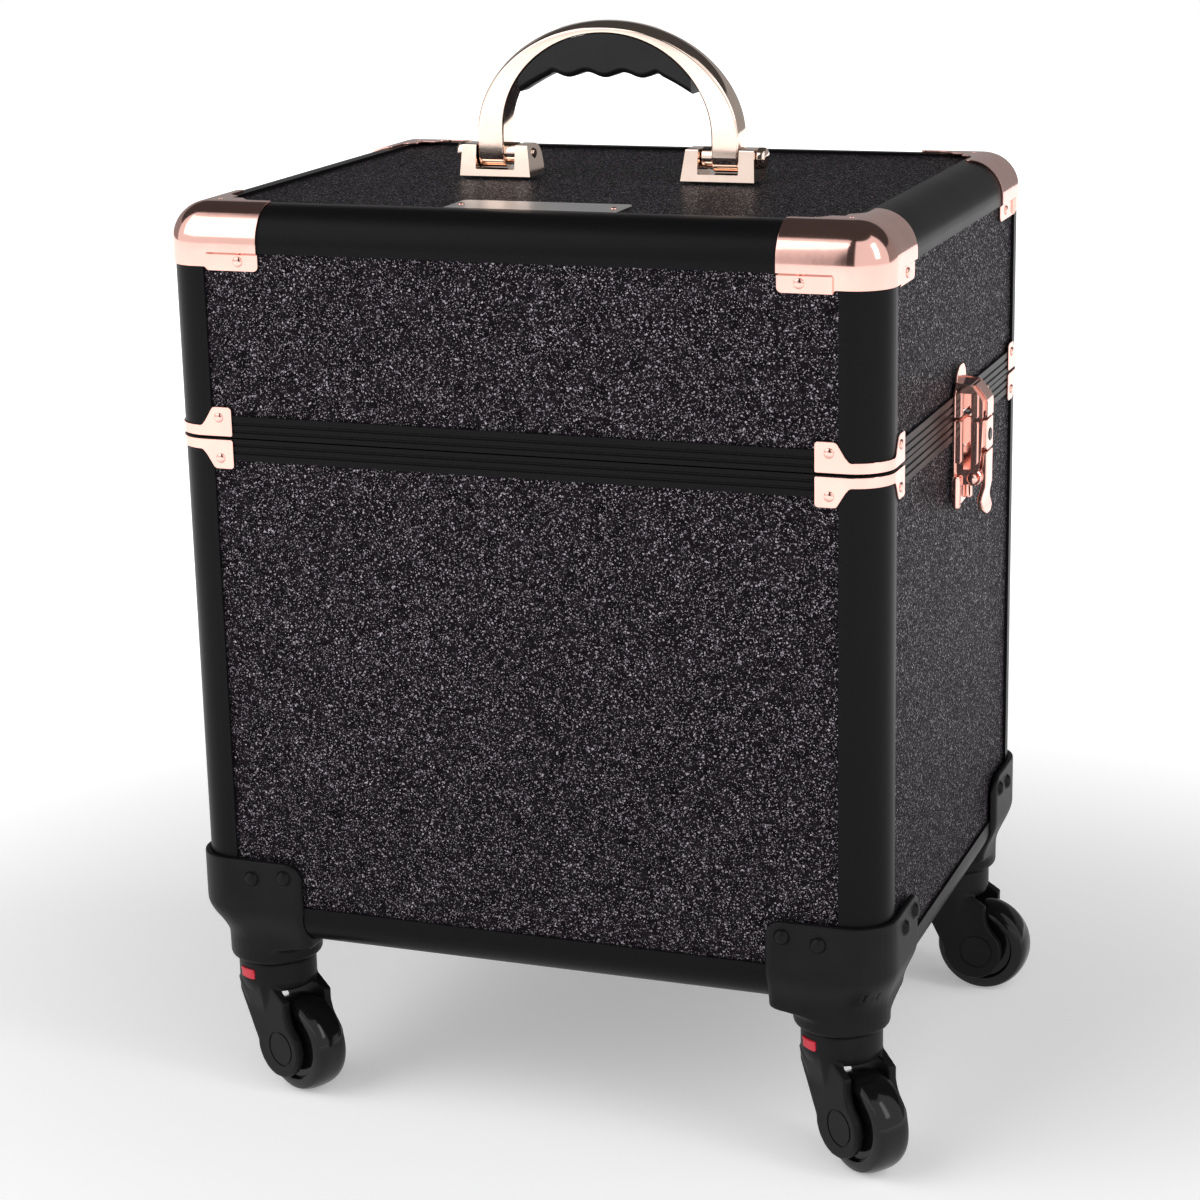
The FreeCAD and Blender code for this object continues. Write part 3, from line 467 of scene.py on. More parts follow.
# ---------------- rivets
def dome(radius, rise):
    """A rivet head on z = 0: a low dome with a small flat on top."""
    profile = [(0, -0.3), (radius, -0.3), (radius, rise * 0.18)]
    profile += [(radius * math.cos(a), rise * (0.18 + 0.82 * math.sin(a))) for a in (0.35, 0.7, 1.0, 1.25)]
    return lathe(profile + [(0, rise)], 28)


def on_faces(head, along, up, lift):
    """A head on the front face and one on the left face, along mm from the case's corner, at every corner."""
    front = placed(head.copy(), X, Z, (-HALF_W + along, -HALF_D - lift, up))
    left = placed(head, -Y, Z, (-HALF_W - lift, -HALF_D + along, up))
    return all_corners(joined([front, left]))


# ---------------- corner clamps
BEND = EDGE_RADIUS * math.pi / 4
CLAMP_SHEET = high("lid_rim_clamps").x - HALF_W
CLAMP_REACH = 31
CLAMP_HEIGHT = high("lid_rim_clamps").z - SEAM_Z
CLAMP_RIVET = (CLAMP_REACH - 6.5, 9.5)


def clamp():
    """A lid clamp: two riveted tabs on a narrow band that bends round the post.
    Drawn flat, x along the surface from the middle of the corner, then wrapped."""
    reach = CLAMP_REACH - EDGE_RADIUS + BEND
    half = [(reach, 0.8, 0.8), (reach, CLAMP_HEIGHT, 1.6), (reach - 9.6, CLAMP_HEIGHT, 2.2),
            (BEND + 0.4, 8.0, 1.2), (BEND - 1.6, 5.6, 2.0)]
    outline = rounded(half + [(-x, y, r) for x, y, r in reversed(half)], 4)
    plate = softened(slab(outline, 0, CLAMP_SHEET), 0.28)
    plate = sliced(plate, 0, [BEND * step / 7 for step in range(-7, 8)])
    middle = Vector((-HALF_W + EDGE_RADIUS, -HALF_D + EDGE_RADIUS))
    for vert in plate.verts:
        along, up, depth = vert.co
        inside = max(-BEND, min(BEND, along))
        angle = math.radians(225) + inside / EDGE_RADIUS
        out = Vector((math.cos(angle), math.sin(angle)))
        spot = middle + out * (EDGE_RADIUS + depth) + Vector((-out.y, out.x)) * (along - inside)
        vert.co = (spot.x, spot.y, SEAM_Z + up)
    bmesh.ops.recalc_face_normals(plate, faces=plate.faces)
    return plate


def under_seam(bm):
    """The reflection of a lid piece below the seam."""
    return moved(reflected(moved(bm, z=-SEAM_Z), sign_z=-1), z=SEAM_Z)


def clamp_rivets(sign):
    along, up = CLAMP_RIVET
    return on_faces(dome(2.3, 0.9), along, SEAM_Z + sign * up, CLAMP_SHEET)


def clamps():
    piece("lid_clamps", all_corners(clamp()), "lid_rim_clamps")
    piece("base_clamps", all_corners(under_seam(clamp())), "base_rim_clamps")
    piece("base_clamp_rivet_heads", clamp_rivets(-1), "base_clamp_rivets")


# ---------------- lid corner caps
CAP_SHEET = high("lid_corner_caps").z - TOP_Z
CAP_FRONT = 48
CAP_SIDE = 50
CAP_RIVET = (38, 24.6)
CREASE = 20.6
CAP_DROP = 27
JOGGLE = 1.3
PLATE_LOW, PLATE_HIGH = low("name_plate"), high("name_plate")
PLATE_Y = (PLATE_LOW.y + PLATE_HIGH.y) / 2


def case_corner(low_corner, size, radius):
    """A block with its low corner's three edges rounded."""
    bm = block(low_corner, [value + size for value in low_corner])
    here = Vector(low_corner)
    edges = [edge for edge in bm.edges if any((vert.co - here).length < 0.01 for vert in edge.verts)]
    bmesh.ops.bevel(bm, geom=edges, offset=radius, segments=14, profile=0.5, affect="EDGES")
    return bm


def cap_leg(reach):
    """What a leg keeps: x from the case's corner, y down from the case's top."""
    return rounded([(-6, CAP_DROP), (22, CAP_DROP, 1.2), (23, CREASE + 8.3, 0.6), (reach, CREASE + 8.3, 2.4),
                    (reach, CREASE - 6, 2), (reach, -9), (-6, -9)], 5)


def corner_cap():
    """A pressed corner: legs joggled down onto the boards, and a lobe with a nail hole on top.
    Drawn upside down with the case's corner at the origin, x and y along the edges and z down."""
    outside = case_corner([-CAP_SHEET] * 3, 62, EDGE_RADIUS + CAP_SHEET)
    shell = combined(outside, case_corner([0] * 3, 70, EDGE_RADIUS), "DIFFERENCE")
    front = placed(slab(cap_leg(CAP_FRONT), -24.5, 6), X, Z)
    side = placed(slab(cap_leg(CAP_SIDE), -6, 24.5), Y, Z)
    lobe = slab(rounded([(-6, -6), (CAP_FRONT, -6), (CAP_FRONT, 18, 1.5), (35, 18, 7), (28, 28, 8),
                         (18, 35, 7), (18, CAP_SIDE, 1.5), (-6, CAP_SIDE)]), -6, 60)
    region = combined(combined(front, side, "UNION"), lobe, "INTERSECT")
    cap = combined(shell, region, "INTERSECT")
    nail_hole = moved(rod(1.3, -4, 4, 20), 20.5, 20.5)
    cap = softened(combined(cap, nail_hole, "DIFFERENCE"), 0.22, 2, 50)
    leg_start, leg_end = 22.2, 23.4
    for axis in (0, 1):
        cap = sliced(cap, axis, (leg_start, 22.8, leg_end))
    cap = sliced(cap, 2, (CREASE - 0.3, CREASE + 0.3, CREASE + 0.9))
    for vert in cap.verts:
        under = ease(vert.co.z, CREASE - 0.3, CREASE + 0.9)
        for axis in (0, 1):
            share = under * ease(vert.co[1 - axis], leg_start, leg_end)
            if vert.co[axis] < 2:
                vert.co[axis] += JOGGLE * share
    return moved(reflected(cap, sign_z=-1), -HALF_W, -HALF_D, TOP_Z)


def caps():
    piece("corner_caps", all_corners(corner_cap()), "lid_corner_caps", 30)
    along, drop = CAP_RIVET
    heads = on_faces(dome(2.4, 0.9), along, TOP_Z - drop, CAP_SHEET - JOGGLE)
    pin = moved(dome(1.6, 0.8), PLATE_HIGH.x - 4.5, PLATE_Y, PLATE_HIGH.z)
    piece("lid_rivet_heads", joined([clamp_rivets(1), heads, both_sides(pin)]), "lid_rivets")


def name_plate():
    """A thin blank plate with a shallow engraved border."""
    half_x, half_y = (PLATE_HIGH.x - PLATE_LOW.x) / 2, PLATE_HIGH.y - PLATE_Y
    sheet = PLATE_HIGH.z - PLATE_LOW.z

    def outline(inset, radius):
        x, y = half_x - inset, half_y - inset
        return rectangle(-x, -y, x, y, radius, radius)

    plate = softened(slab(outline(0, 3), 0, sheet), 0.25)
    groove = combined(slab(outline(1.6, 2), sheet - 0.15, 3), slab(outline(2.1, 1.6), 0, 4), "DIFFERENCE")
    plate = moved(combined(plate, groove, "DIFFERENCE"), 0, PLATE_Y, PLATE_LOW.z)
    piece("blank_name_plate", plate, "name_plate")


# ---------------- caster housings
HOUSING_LOW, HOUSING_HIGH = low("caster_housing_front_left"), high("caster_housing_front_left")
HOUSING_TOP = HOUSING_HIGH.z - BASE_Z
HOUSING_WALL = -HALF_D - HOUSING_LOW.y
HOUSING_REACH = HOUSING_HIGH.x + HALF_W
CUP_DROP = BASE_Z - HOUSING_LOW.z
SWIVEL_INSET = HALF_W + JOINTS["swivel_front_left"]["pos_m"][0] / MM
CUP_RADIUS = 22.5
HOUSING_BOLTS = ((29, 34), (46, 36))


def rounded_square(near, far, near_radius, far_radius, height):
    """A level square from near to far on both axes, the near corner's radius differing from the others'."""
    inside, outside = near + far_radius, far - far_radius
    points = arc((near + near_radius, near + near_radius), near_radius, 180, 270, 9)
    points += arc((outside, inside), far_radius, 270, 360, 9)
    points += arc((outside, outside), far_radius, 0, 90, 9) + arc((inside, outside), far_radius, 90, 180, 9)
    return [(x, y, height) for x, y in points]


def housing_body():
    """From the top down: an L of flanges, an S curve inwards, and a round cup under the case.
    The case's corner is the origin; x and y run along its edges."""
    levels = [HOUSING_TOP + 1, 30, 24] + [21 - step for step in range(22)]
    levels += [-1, -2, -3, -3.6, -4.2, -5, -6, -7.2, -8.4, -9.6, -11, -11.8, -12.6, -13.3, -CUP_DROP + 0.02]
    cup_near, cup_far = SWIVEL_INSET - CUP_RADIUS, SWIVEL_INSET + CUP_RADIUS
    outer_radius = EDGE_RADIUS + HOUSING_WALL
    sections = []
    for level in levels:
        inward = ease(-level, -19, 2)
        near = -HOUSING_WALL + (cup_near + HOUSING_WALL) * inward
        under = min(1, max(0, (-level - 2.6) / 5.4))
        share = 1 - (1 - under) ** 2
        far = HOUSING_REACH + (cup_far - HOUSING_REACH) * share
        near_radius = outer_radius + (CUP_RADIUS - outer_radius) * ease(-level, -19, 8)
        far_radius = 4 + (CUP_RADIUS - 4) * share
        trim = 2.4 * (1 - math.sqrt(1 - min(1, max(0, (-level - 11.6) / 2.4)) ** 2))
        sections.append(rounded_square(near + trim, far - trim, max(2, near_radius - trim),
                                       max(2, far_radius - trim - 0.01), level))
    return swept(sections)


def flange_side():
    """The elevation of a flange, the top of its free end rounded off."""
    return rounded([(-12, -30), (HOUSING_REACH, -30), (HOUSING_REACH, HOUSING_TOP, 9), (-12, HOUSING_TOP)], 8)


def housing():
    shape = combined(housing_body(), placed(slab(flange_side(), -80, 12), X, Z), "INTERSECT")
    shape = combined(shape, placed(slab(flange_side(), -12, 80), Y, Z), "INTERSECT")
    shape = combined(shape, case_corner([0.05] * 3, 90, EDGE_RADIUS), "DIFFERENCE")
    shape = combined(shape, moved(rod(5.4, -20, -2), SWIVEL_INSET, SWIVEL_INSET), "DIFFERENCE")
    return moved(moulded_shape(shape, 0.75), -HALF_W, -HALF_D, BASE_Z)


def bolt():
    """A domed rivet head standing in a pressed ring."""
    return lathe([(0, -0.4), (4.4, -0.4), (4.4, 0.1), (4.0, 0.3), (3.6, 0.1), (3.4, 0.5), (3.1, 1.1),
                  (2.5, 1.65), (1.7, 2.0), (0.9, 2.15), (0, 2.2)], 32)


def housings():
    shape = housing()
    for corner, signs in CORNERS.items():
        piece("housing_" + corner, reflected(shape, *signs), "caster_housing_" + corner, 60)
    shape.free()
    heads = [on_faces(bolt(), along, BASE_Z + up, HOUSING_WALL) for along, up in HOUSING_BOLTS]
    piece("housing_screws", joined(heads), "housing_rivets")


# ---------------- casters
WHEEL_RADIUS = JOINTS["roll_front_left"]["pos_m"][2] / MM
WHEEL_HALF = 9
COLLAR_RADIUS = 19
COLLAR_TOP = BASE_Z - CUP_DROP - 0.3
COLLAR_BOTTOM = COLLAR_TOP - 16
FORK_HALF = 15
ARM = 4.5
ARM_RADIUS = 15.5
ARM_MIDDLE = 15.5


def heading(corner):
    """A caster's swivel axis at floor level, and its trail as a vector."""
    swivel, roll = JOINTS["swivel_" + corner]["pos_m"], JOINTS["roll_" + corner]["pos_m"]
    centre = Vector((swivel[0], swivel[1], 0)) / MM
    return centre, Vector((roll[0], roll[1], 0)) / MM - centre


TRAIL = heading("front_left")[1].length


def arm_outline():
    """An arm in elevation: a neck under the collar that sweeps back round the axle end."""
    top = COLLAR_BOTTOM + 4
    right = ARM_MIDDLE + ARM_RADIUS
    lower = arc((ARM_MIDDLE, WHEEL_RADIUS), ARM_RADIUS, 180, 385, 28)
    back = arc((right + 7, WHEEL_RADIUS + 21), 16, 225, 168, 8)
    return [(-12.5, top), (-12.5, COLLAR_BOTTOM - 3)] + lower + back + [(12, top)]


def shoulder(side):
    """The web that fills out from an arm's neck to the collar."""
    inside = FORK_HALF - ARM
    sections = []
    for step in range(9):
        share = step / 8
        level = COLLAR_BOTTOM + 4 - 16 * share
        outside = FORK_HALF + 2.6 * (1 - ease(share, 0, 1))
        back, front = -12.3 + 4 * share, 11 - share
        points = [(back, inside), (front, inside), (front, outside - 2), (front - 3, outside),
                  (back + 4, outside), (back, outside - 2)]
        sections.append([(x, side * y, level) for x, y in points])
    return swept(sections)


def fork():
    """Collar, shoulders and two arms as one moulding; the trail along +x and the axle along y."""
    collar = [(0, COLLAR_TOP), (COLLAR_RADIUS - 1, COLLAR_TOP), (COLLAR_RADIUS, COLLAR_TOP - 1.2),
              (COLLAR_RADIUS, COLLAR_BOTTOM + 5), (COLLAR_RADIUS - 1, COLLAR_BOTTOM + 1.5),
              (COLLAR_RADIUS - 4, COLLAR_BOTTOM), (0, COLLAR_BOTTOM)]
    parts = [lathe(collar, 64), rod(5, COLLAR_TOP - 4, BASE_Z - 3)]
    for side in (-1, 1):
        ends = sorted((-side * FORK_HALF, -side * (FORK_HALF - ARM)))
        parts.append(placed(slab(arm_outline(), *ends), X, Z))
        parts.append(shoulder(side))
        ends = sorted((-side * (FORK_HALF - ARM - 0.9), -side * (FORK_HALF - 1)))
        parts.append(placed(rod(6.4, *ends), X, Z, (TRAIL, 0, WHEEL_RADIUS)))
    shape = moulded_shape(joined(parts), 0.7)
    for side in (-1, 1):
        ring = lathe([(8.0, -0.45), (9.0, -0.45), (9.0, 0.45), (8.0, 0.45)])
        shape = combined(shape, placed(ring, X, Z, (TRAIL, side * FORK_HALF, WHEEL_RADIUS)), "DIFFERENCE")
    pocket = block((-5.2, -COLLAR_RADIUS - 2, COLLAR_BOTTOM + 6.8),
                   (5.2, -COLLAR_RADIUS + 4.5, COLLAR_BOTTOM + 12.2))
    return combined(shape, pocket, "DIFFERENCE")


def wheel():
    """A dished hub and a crowned tread with a groove between them; the axle is the z axis."""
    tread = []
    for step in range(1, 16):
        across = -1 + 2 * step / 16
        crown = 3.4 * (1 - math.sqrt(1 - abs(across) ** 2.6))
        tread.append((WHEEL_RADIUS - crown, across * WHEEL_HALF))
    left = [(3.05, -8.2), (7.5, -8.2), (8.2, -7.4), (16.2, -7.0), (16.8, -8.2), (17.4, -WHEEL_HALF),
            (20, -WHEEL_HALF)]
    right = [(radius, -height) for radius, height in reversed(left)]
    return lathe(left + tread + right, 96)


def button():
    """The release tab on the collar: a curved pad with a raised lip."""
    bottom, top = COLLAR_BOTTOM + 7, COLLAR_BOTTOM + 12
    outline = [(2.2, 0), (0.3, 0), (0, 0.35), (0, 3.3), (-0.4, 3.7), (-0.4, 4.6), (0, 5), (2.2, 5)]
    sections = []
    for step in range(11):
        across = -4.8 + 9.6 * step / 10
        face = -math.sqrt((COLLAR_RADIUS + 0.5) ** 2 - across ** 2)
        end = 0.3 if step in (0, 10) else 0
        sections.append([(across, face + depth + (end if depth < 1 else 0),
                          min(top - end, max(bottom + end, bottom + up))) for depth, up in outline])
    return swept(sections)


def axle():
    """A plain pin that ends inside the arms."""
    half = FORK_HALF - 0.9
    return barrel(0, 3, -half, half, 0.4)


def casters():
    shapes = {"fork": fork(), "axle": axle(), "wheel": wheel(), "button": button()}
    for corner in CORNERS:
        centre, trail = heading(corner)
        along = trail.normalized()
        hub = centre + trail + Z * WHEEL_RADIUS
        across = Z.cross(along)
        for name, up, at, angle in (("fork", across, centre, 50), ("axle", Z, hub, 40),
                                    ("wheel", Z, hub, 35), ("button", across, centre, 30)):
            shape = placed(shapes[name].copy(), along, up, at)
            piece(name + "_" + corner, shape, "caster_%s_%s" % (name, corner), angle)


# ---------------- handle
PIVOT_Z = JOINTS["handle_fold"]["pos_m"][2] / MM
SPRING_Z = TOP_Z + 20
ARCH_HALF, ARCH_DEEP, ARCH_TOP = high("handle_arch")
ARCH_RISE = ARCH_TOP - SPRING_Z
LEG = 13.5
CROWN = 5.4
FOOT_RADIUS = 5
LEG_STEPS = 14
LEG_END = 7
BRACKET_FAR, BRACKET_DEEP, BRACKET_TOP = high("handle_brackets")
BRACKET_NEAR = BRACKET_FAR - 36
CHEEK = 8


def arch_section(outer, inner, deep, edge, fall):
    """A bar between an outer and an inner point, deep mm to either side.
    Its outer edges are rounded by edge, and its outer face falls away towards both of them."""
    middle, half = (outer + inner) / 2, (outer - inner).length / 2
    out = (outer - inner).normalized()
    inside = min(1, edge)
    face = [(half, deep * step / 6) for step in range(-5, 6)]
    outline = rounded([(-half, -deep, inside), (half, -deep, edge)] + face
                      + [(half, deep, edge), (-half, deep, inside)])
    section = []
    for x, y in outline:
        x -= fall * abs(y / deep) ** 2.2 * (x + half) / (2 * half)
        section.append((middle + out * x + Y * y)[:])
    return section


def arch():
    """Legs that rise from the pivots and widen into a flat arch."""
    leg = []
    for step in range(9):
        drop = LEG_END * math.cos(math.pi / 2 * (step + 0.4) / 9.4)
        leg.append(Vector((-ARCH_HALF, 0, PIVOT_Z - drop)))
    for step in range(LEG_STEPS):
        leg.append(Vector((-ARCH_HALF, 0, PIVOT_Z + (SPRING_Z - PIVOT_Z) * step / LEG_STEPS)))
    outers = list(leg)
    inners = [point + X * LEG for point in leg]
    for step in range(65):
        angle = math.pi * (1 - step / 64)
        across, up = math.cos(angle), math.sin(angle)
        outers.append(Vector((ARCH_HALF * across, 0, SPRING_Z + ARCH_RISE * up)))
        inners.append(Vector(((ARCH_HALF - LEG) * across, 0, SPRING_Z + (ARCH_RISE - CROWN) * up)))
    outers += [Vector((-point.x, 0, point.z)) for point in leg[::-1]]
    inners += [Vector((-point.x - LEG, 0, point.z)) for point in leg[::-1]]
    sections = []
    for outer, inner in zip(outers, inners):
        deep = LEG_END + (ARCH_DEEP - LEG_END) * ease(outer.z, PIVOT_Z + 9.5, PIVOT_Z + 52)
        if outer.z < PIVOT_Z:
            deep = math.sqrt(LEG_END ** 2 - (PIVOT_Z - outer.z) ** 2)
        fall = 0.4 + 2.6 * ease(outer.z, SPRING_Z, SPRING_Z + ARCH_RISE)
        sections.append(arch_section(outer, inner, deep, min(1.2, deep * 0.15), fall))
    foot = placed(barrel(2.6, FOOT_RADIUS, 0, 19.4, 0.6, 40), Y, Z, (46.3, 0, PIVOT_Z))
    bore = placed(rod(2.6, -80, 80, 40), Y, Z, (0, 0, PIVOT_Z))
    bar = combined(swept(sections), bore, "DIFFERENCE")
    piece("arch", joined([bar, both_sides(foot)]), "handle_arch", 30)


def grip():
    """The moulded grip fills the crown of the arch; finger hollows underneath."""
    half, deep = 43, 8
    sections = []
    for step in range(97):
        x = -half + 2 * half * step / 96
        roof = SPRING_Z + (ARCH_RISE - CROWN) * math.sqrt(1 - (x / (ARCH_HALF - LEG)) ** 2) - 0.15
        wave = 1.2 * math.cos(2 * math.pi * x / 18.4) * ease(29 - abs(x), 0, 4)
        floor = TOP_Z + 48.3 - wave - 8.3 * (max(0, abs(x) - 27) / 16) ** 1.15
        height = roof - floor
        middle = floor + height / 2
        radius = min(3.2, height / 2.3)
        upper = min(0.6, radius)
        outline = rectangle(-deep, -height / 2, deep, height / 2, radius, upper, 5)
        sections.append([(x, y, middle + z) for y, z in outline])
    piece("grip", swept(sections), "handle_grip", 45)


def bracket():
    """A cast bracket: two cheeks on a tapered base, its back edges rounded over."""
    base, top = 3.2, BRACKET_TOP - TOP_Z
    slot_near, slot_far = BRACKET_NEAR + CHEEK, BRACKET_FAR - CHEEK
    front = rounded([(BRACKET_NEAR - 0.2, 0), (BRACKET_FAR, 0), (BRACKET_FAR - 0.8, top, 0.8),
                     (slot_far, top, 0.8), (slot_far, base, 0.6), (slot_near, base, 0.6),
                     (slot_near, top, 0.8), (BRACKET_NEAR + 1.9, top, 0.8)], 4)
    body = placed(slab(front, -BRACKET_DEEP, BRACKET_DEEP), X, Z, (0, 0, TOP_Z))
    side = rounded([(-BRACKET_DEEP, -1), (BRACKET_DEEP, -1), (BRACKET_DEEP, top + 0.01, 7.5),
                    (-BRACKET_DEEP + 2.6, top + 0.01, 1.2)], 8)
    body = combined(body, placed(slab(side, 20, 90), Y, Z, (0, 0, TOP_Z)), "INTERSECT")
    bore = placed(rod(2.55, 20, 90), Y, Z, (0, 0, PIVOT_Z))
    return softened(combined(body, bore, "DIFFERENCE"), 0.3, 3)


def pivot_pin():
    """A pin through both cheeks with a flat domed head outside."""
    out = high("handle_pivot_pins").x
    seat = BRACKET_FAR - 0.2
    profile = [(0, BRACKET_NEAR + 0.6), (2, BRACKET_NEAR + 0.6), (2.5, BRACKET_NEAR + 1.2), (2.5, seat),
               (5, seat), (5, out - 1.4), (4.6, out - 0.5), (3.8, out), (0, out)]
    return placed(lathe(profile, 40), Y, Z, (0, 0, PIVOT_Z))


def handle():
    arch()
    grip()
    piece("brackets", both_sides(bracket()), "handle_brackets")
    piece("pivot_pins", both_sides(pivot_pin()), "handle_pivot_pins")


# ---------------- latches
# Drawn on the right face: x out from the case, y across, z from the seam.
LATCH_PIN = HALF_W + 9
PIN_DROP = 28
LOCK_DROP = 8.4
FACE_OUT = HALF_W + 15
CHEEK_OUT = FACE_OUT - 1.4
CHEEK_HALF = 9.9
SHEET = 1.2


def square_to_x(outline, near, far):
    """A plate from x = near to x = far; the outline is (y, z from the seam)."""
    return placed(slab(outline, near, far), Y, Z, (0, 0, SEAM_Z))


def square_to_y(outline, near, far):
    """A plate from y = -far to y = -near; the outline is (x, z from the seam)."""
    return placed(slab(outline, near, far), X, Z, (0, 0, SEAM_Z))


def side_walls(outline, outside, inside):
    """The same plate on both sides of a latch, between two distances from its middle."""
    ends = [sorted((-sign * outside, -sign * inside)) for sign in (-1, 1)]
    return joined([square_to_y(outline, *pair) for pair in ends])


def mirrored_outline(half):
    """A closed outline from its right half, bottom to top."""
    return rounded(half + [(-corner[0],) + corner[1:] for corner in reversed(half)], 5)


def channelled(bm, low_z, high_z):
    """Cut a deep channel along both sides of a latch body."""
    for sign in (-1, 1):
        near, far = sorted((sign * 2, sign * (CHEEK_HALF + 3)))
        groove = block((HALF_W + 4.4, near, SEAM_Z + low_z), (HALF_W + 8.2, far, SEAM_Z + high_z))
        bm = combined(bm, groove, "DIFFERENCE")
    return bm


def ribs(low_z, high_z):
    """Two raised ribs along each side of a latch body."""
    strips = []
    for near, far, proud in ((1.0, 3.8, 1.5), (8.8, 11.6, 1.2)):
        outline = rectangle(HALF_W + near, low_z, HALF_W + far, high_z, 1, 1, 4)
        strips.append(side_walls(outline, CHEEK_HALF + proud, CHEEK_HALF - 0.2))
    return softened(joined(strips), 0.3, 3)


def latch_plate():
    half = [(5, -43, 4), (12.6, -42.4, 2.5), (13.6, -27.6, 1.5), (11.6, -25.4, 1.5), (11.6, -0.6, 0.6)]
    parts = [softened(square_to_x(mirrored_outline(half), HALF_W, HALF_W + SHEET), 0.3)]
    flare = [(0, -42), (1.5, -42), (2.1, -41.2), (2.1, -27.8), (1.5, -27), (0, -27)]
    parts += [moved(lathe(flare, 28), HALF_W + 2.0, sign * 11.8, SEAM_Z) for sign in (-1, 1)]
    wall = rounded([(HALF_W + 0.6, -31), (HALF_W + 8, -31, 4), (HALF_W + 12, -24, 5),
                    (CHEEK_OUT - 0.6, -16, 3), (CHEEK_OUT, -0.6, 0.6), (HALF_W + 0.6, -0.6)], 5)
    lock = softened(block((HALF_W + 1, -9, SEAM_Z - 13.4), (CHEEK_OUT, 9, SEAM_Z - 0.6)), 0.4)
    body = combined(lock, side_walls(wall, CHEEK_HALF, CHEEK_HALF - 1.4), "UNION")
    face = square_to_x(rectangle(-6, -15, 6, -0.5, 1.2, 0.8, 4), CHEEK_OUT - 0.4, FACE_OUT)
    body = combined(body, softened(face, 0.35), "UNION")
    plug_hole = placed(rod(3.15, HALF_W + 9.6, FACE_OUT + 2, 40), Y, Z, (0, 0, SEAM_Z - LOCK_DROP))
    parts.append(softened(channelled(combined(body, plug_hole, "DIFFERENCE"), -24, 1), 0.25))
    parts.append(ribs(-21, -0.8))
    pin = [(0, -11.4), (1.6, -11.4), (2.3, -11), (2.6, -10.4), (2.6, -10), (1.5, -9.8)]
    pin += [(radius, -height) for radius, height in reversed(pin)]
    parts.append(placed(lathe(pin, 28), X, Z, (LATCH_PIN, 0, SEAM_Z - PIN_DROP)))
    return joined(parts)


def latch_catch():
    half = [(11.6, 0.6, 0.6), (11.6, 11.5, 2.5), (8.8, 15, 2), (8.5, 24, 7)]
    parts = [softened(square_to_x(mirrored_outline(half), HALF_W, HALF_W + SHEET), 0.3)]
    wall = rounded([(HALF_W + 0.6, 0.6), (CHEEK_OUT, 0.6, 0.6), (CHEEK_OUT, 9, 5), (HALF_W + 8, 16, 4),
                    (HALF_W + 0.6, 17)])
    middle = rounded([(HALF_W + 1, 3.6), (CHEEK_OUT - 0.2, 3.6), (CHEEK_OUT - 0.2, 9, 4.5),
                      (HALF_W + 8, 15.6, 3.5), (HALF_W + 1, 16.6)])
    body = combined(side_walls(wall, CHEEK_HALF, CHEEK_HALF - 1.4), square_to_y(middle, -9, 9), "UNION")
    parts.append(softened(channelled(body, -1, 12), 0.3))
    parts.append(ribs(0.8, 12.5))
    cover = rounded([(CHEEK_OUT - 1.2, 0.5), (FACE_OUT, 0.5, 0.3), (FACE_OUT, 9.5, 6.5),
                     (HALF_W + 8.6, 16.5, 2.5), (HALF_W + 7.4, 15.5), (CHEEK_OUT - 1.2, 8.5, 4.5)], 8)
    parts.append(softened(square_to_y(cover, -6, 6), 0.35, 3))
    return joined(parts)


def latch_lever():
    """A fish-tailed lever on a barrel between the walls."""
    half = [(3.0, -45.9, 1.5), (8.6, -43.6, 2.2), (8.3, -38.5, 5), (5.9, -32.5, 6), (6, -15.7, 1.2)]
    blade = softened(square_to_x(mirrored_outline(half), FACE_OUT - 2.4, FACE_OUT), 0.5, 3)
    blade = sliced(blade, 2, [SEAM_Z - level for level in (33, 35, 37, 39, 41, 43, 45)])
    for vert in blade.verts:
        drop = SEAM_Z - vert.co.z
        vert.co.x -= 1.6 * ease(drop, 30, 39) - 1.6 * ease(drop, 39, 46)
    eye = placed(barrel(1.6, 4, -8.2, 8.2, 0.6), X, Z, (LATCH_PIN, 0, SEAM_Z - PIN_DROP))
    web = [(LATCH_PIN + 2.2, -24.9), (LATCH_PIN + 2.2, -31.1), (FACE_OUT - 1.5, -30), (FACE_OUT - 1.5, -20)]
    return joined([blade, eye, softened(square_to_y(web, -5, 5), 0.4)])


def lock_plug():
    """A disc with a key slot."""
    face = FACE_OUT + 0.4
    profile = [(0, HALF_W + 10), (3, HALF_W + 10), (3, face - 0.3), (2.7, face), (0, face)]
    plug = placed(lathe(profile, 40), Y, Z, (0, 0, SEAM_Z - LOCK_DROP))
    slot = block((FACE_OUT - 2.4, -0.45, SEAM_Z - 10.6), (FACE_OUT + 2, 0.45, SEAM_Z - 6.4))
    return combined(plug, slot, "DIFFERENCE")


def latches():
    shapes = (("plate", latch_plate(), "latch_plate_"), ("catch", latch_catch(), "latch_catch_"),
              ("lever", latch_lever(), "latch_lever_"), ("plug", lock_plug(), "lock_plug_"))
    for name, shape, node in shapes:
        for side, sign in (("right", 1), ("left", -1)):
            piece("latch_%s_%s" % (name, side), reflected(shape, sign_x=sign), node + side)


# ---------------- hinge
HINGE_Y = JOINTS["lid_hinge"]["pos_m"][1] / MM
LEAF_HALF = high("hinge_lower_leaf").x
LEAF_DROP = SEAM_Z - low("hinge_lower_leaf").z
KNUCKLES = 9
PITCH = 2 * LEAF_HALF / KNUCKLES


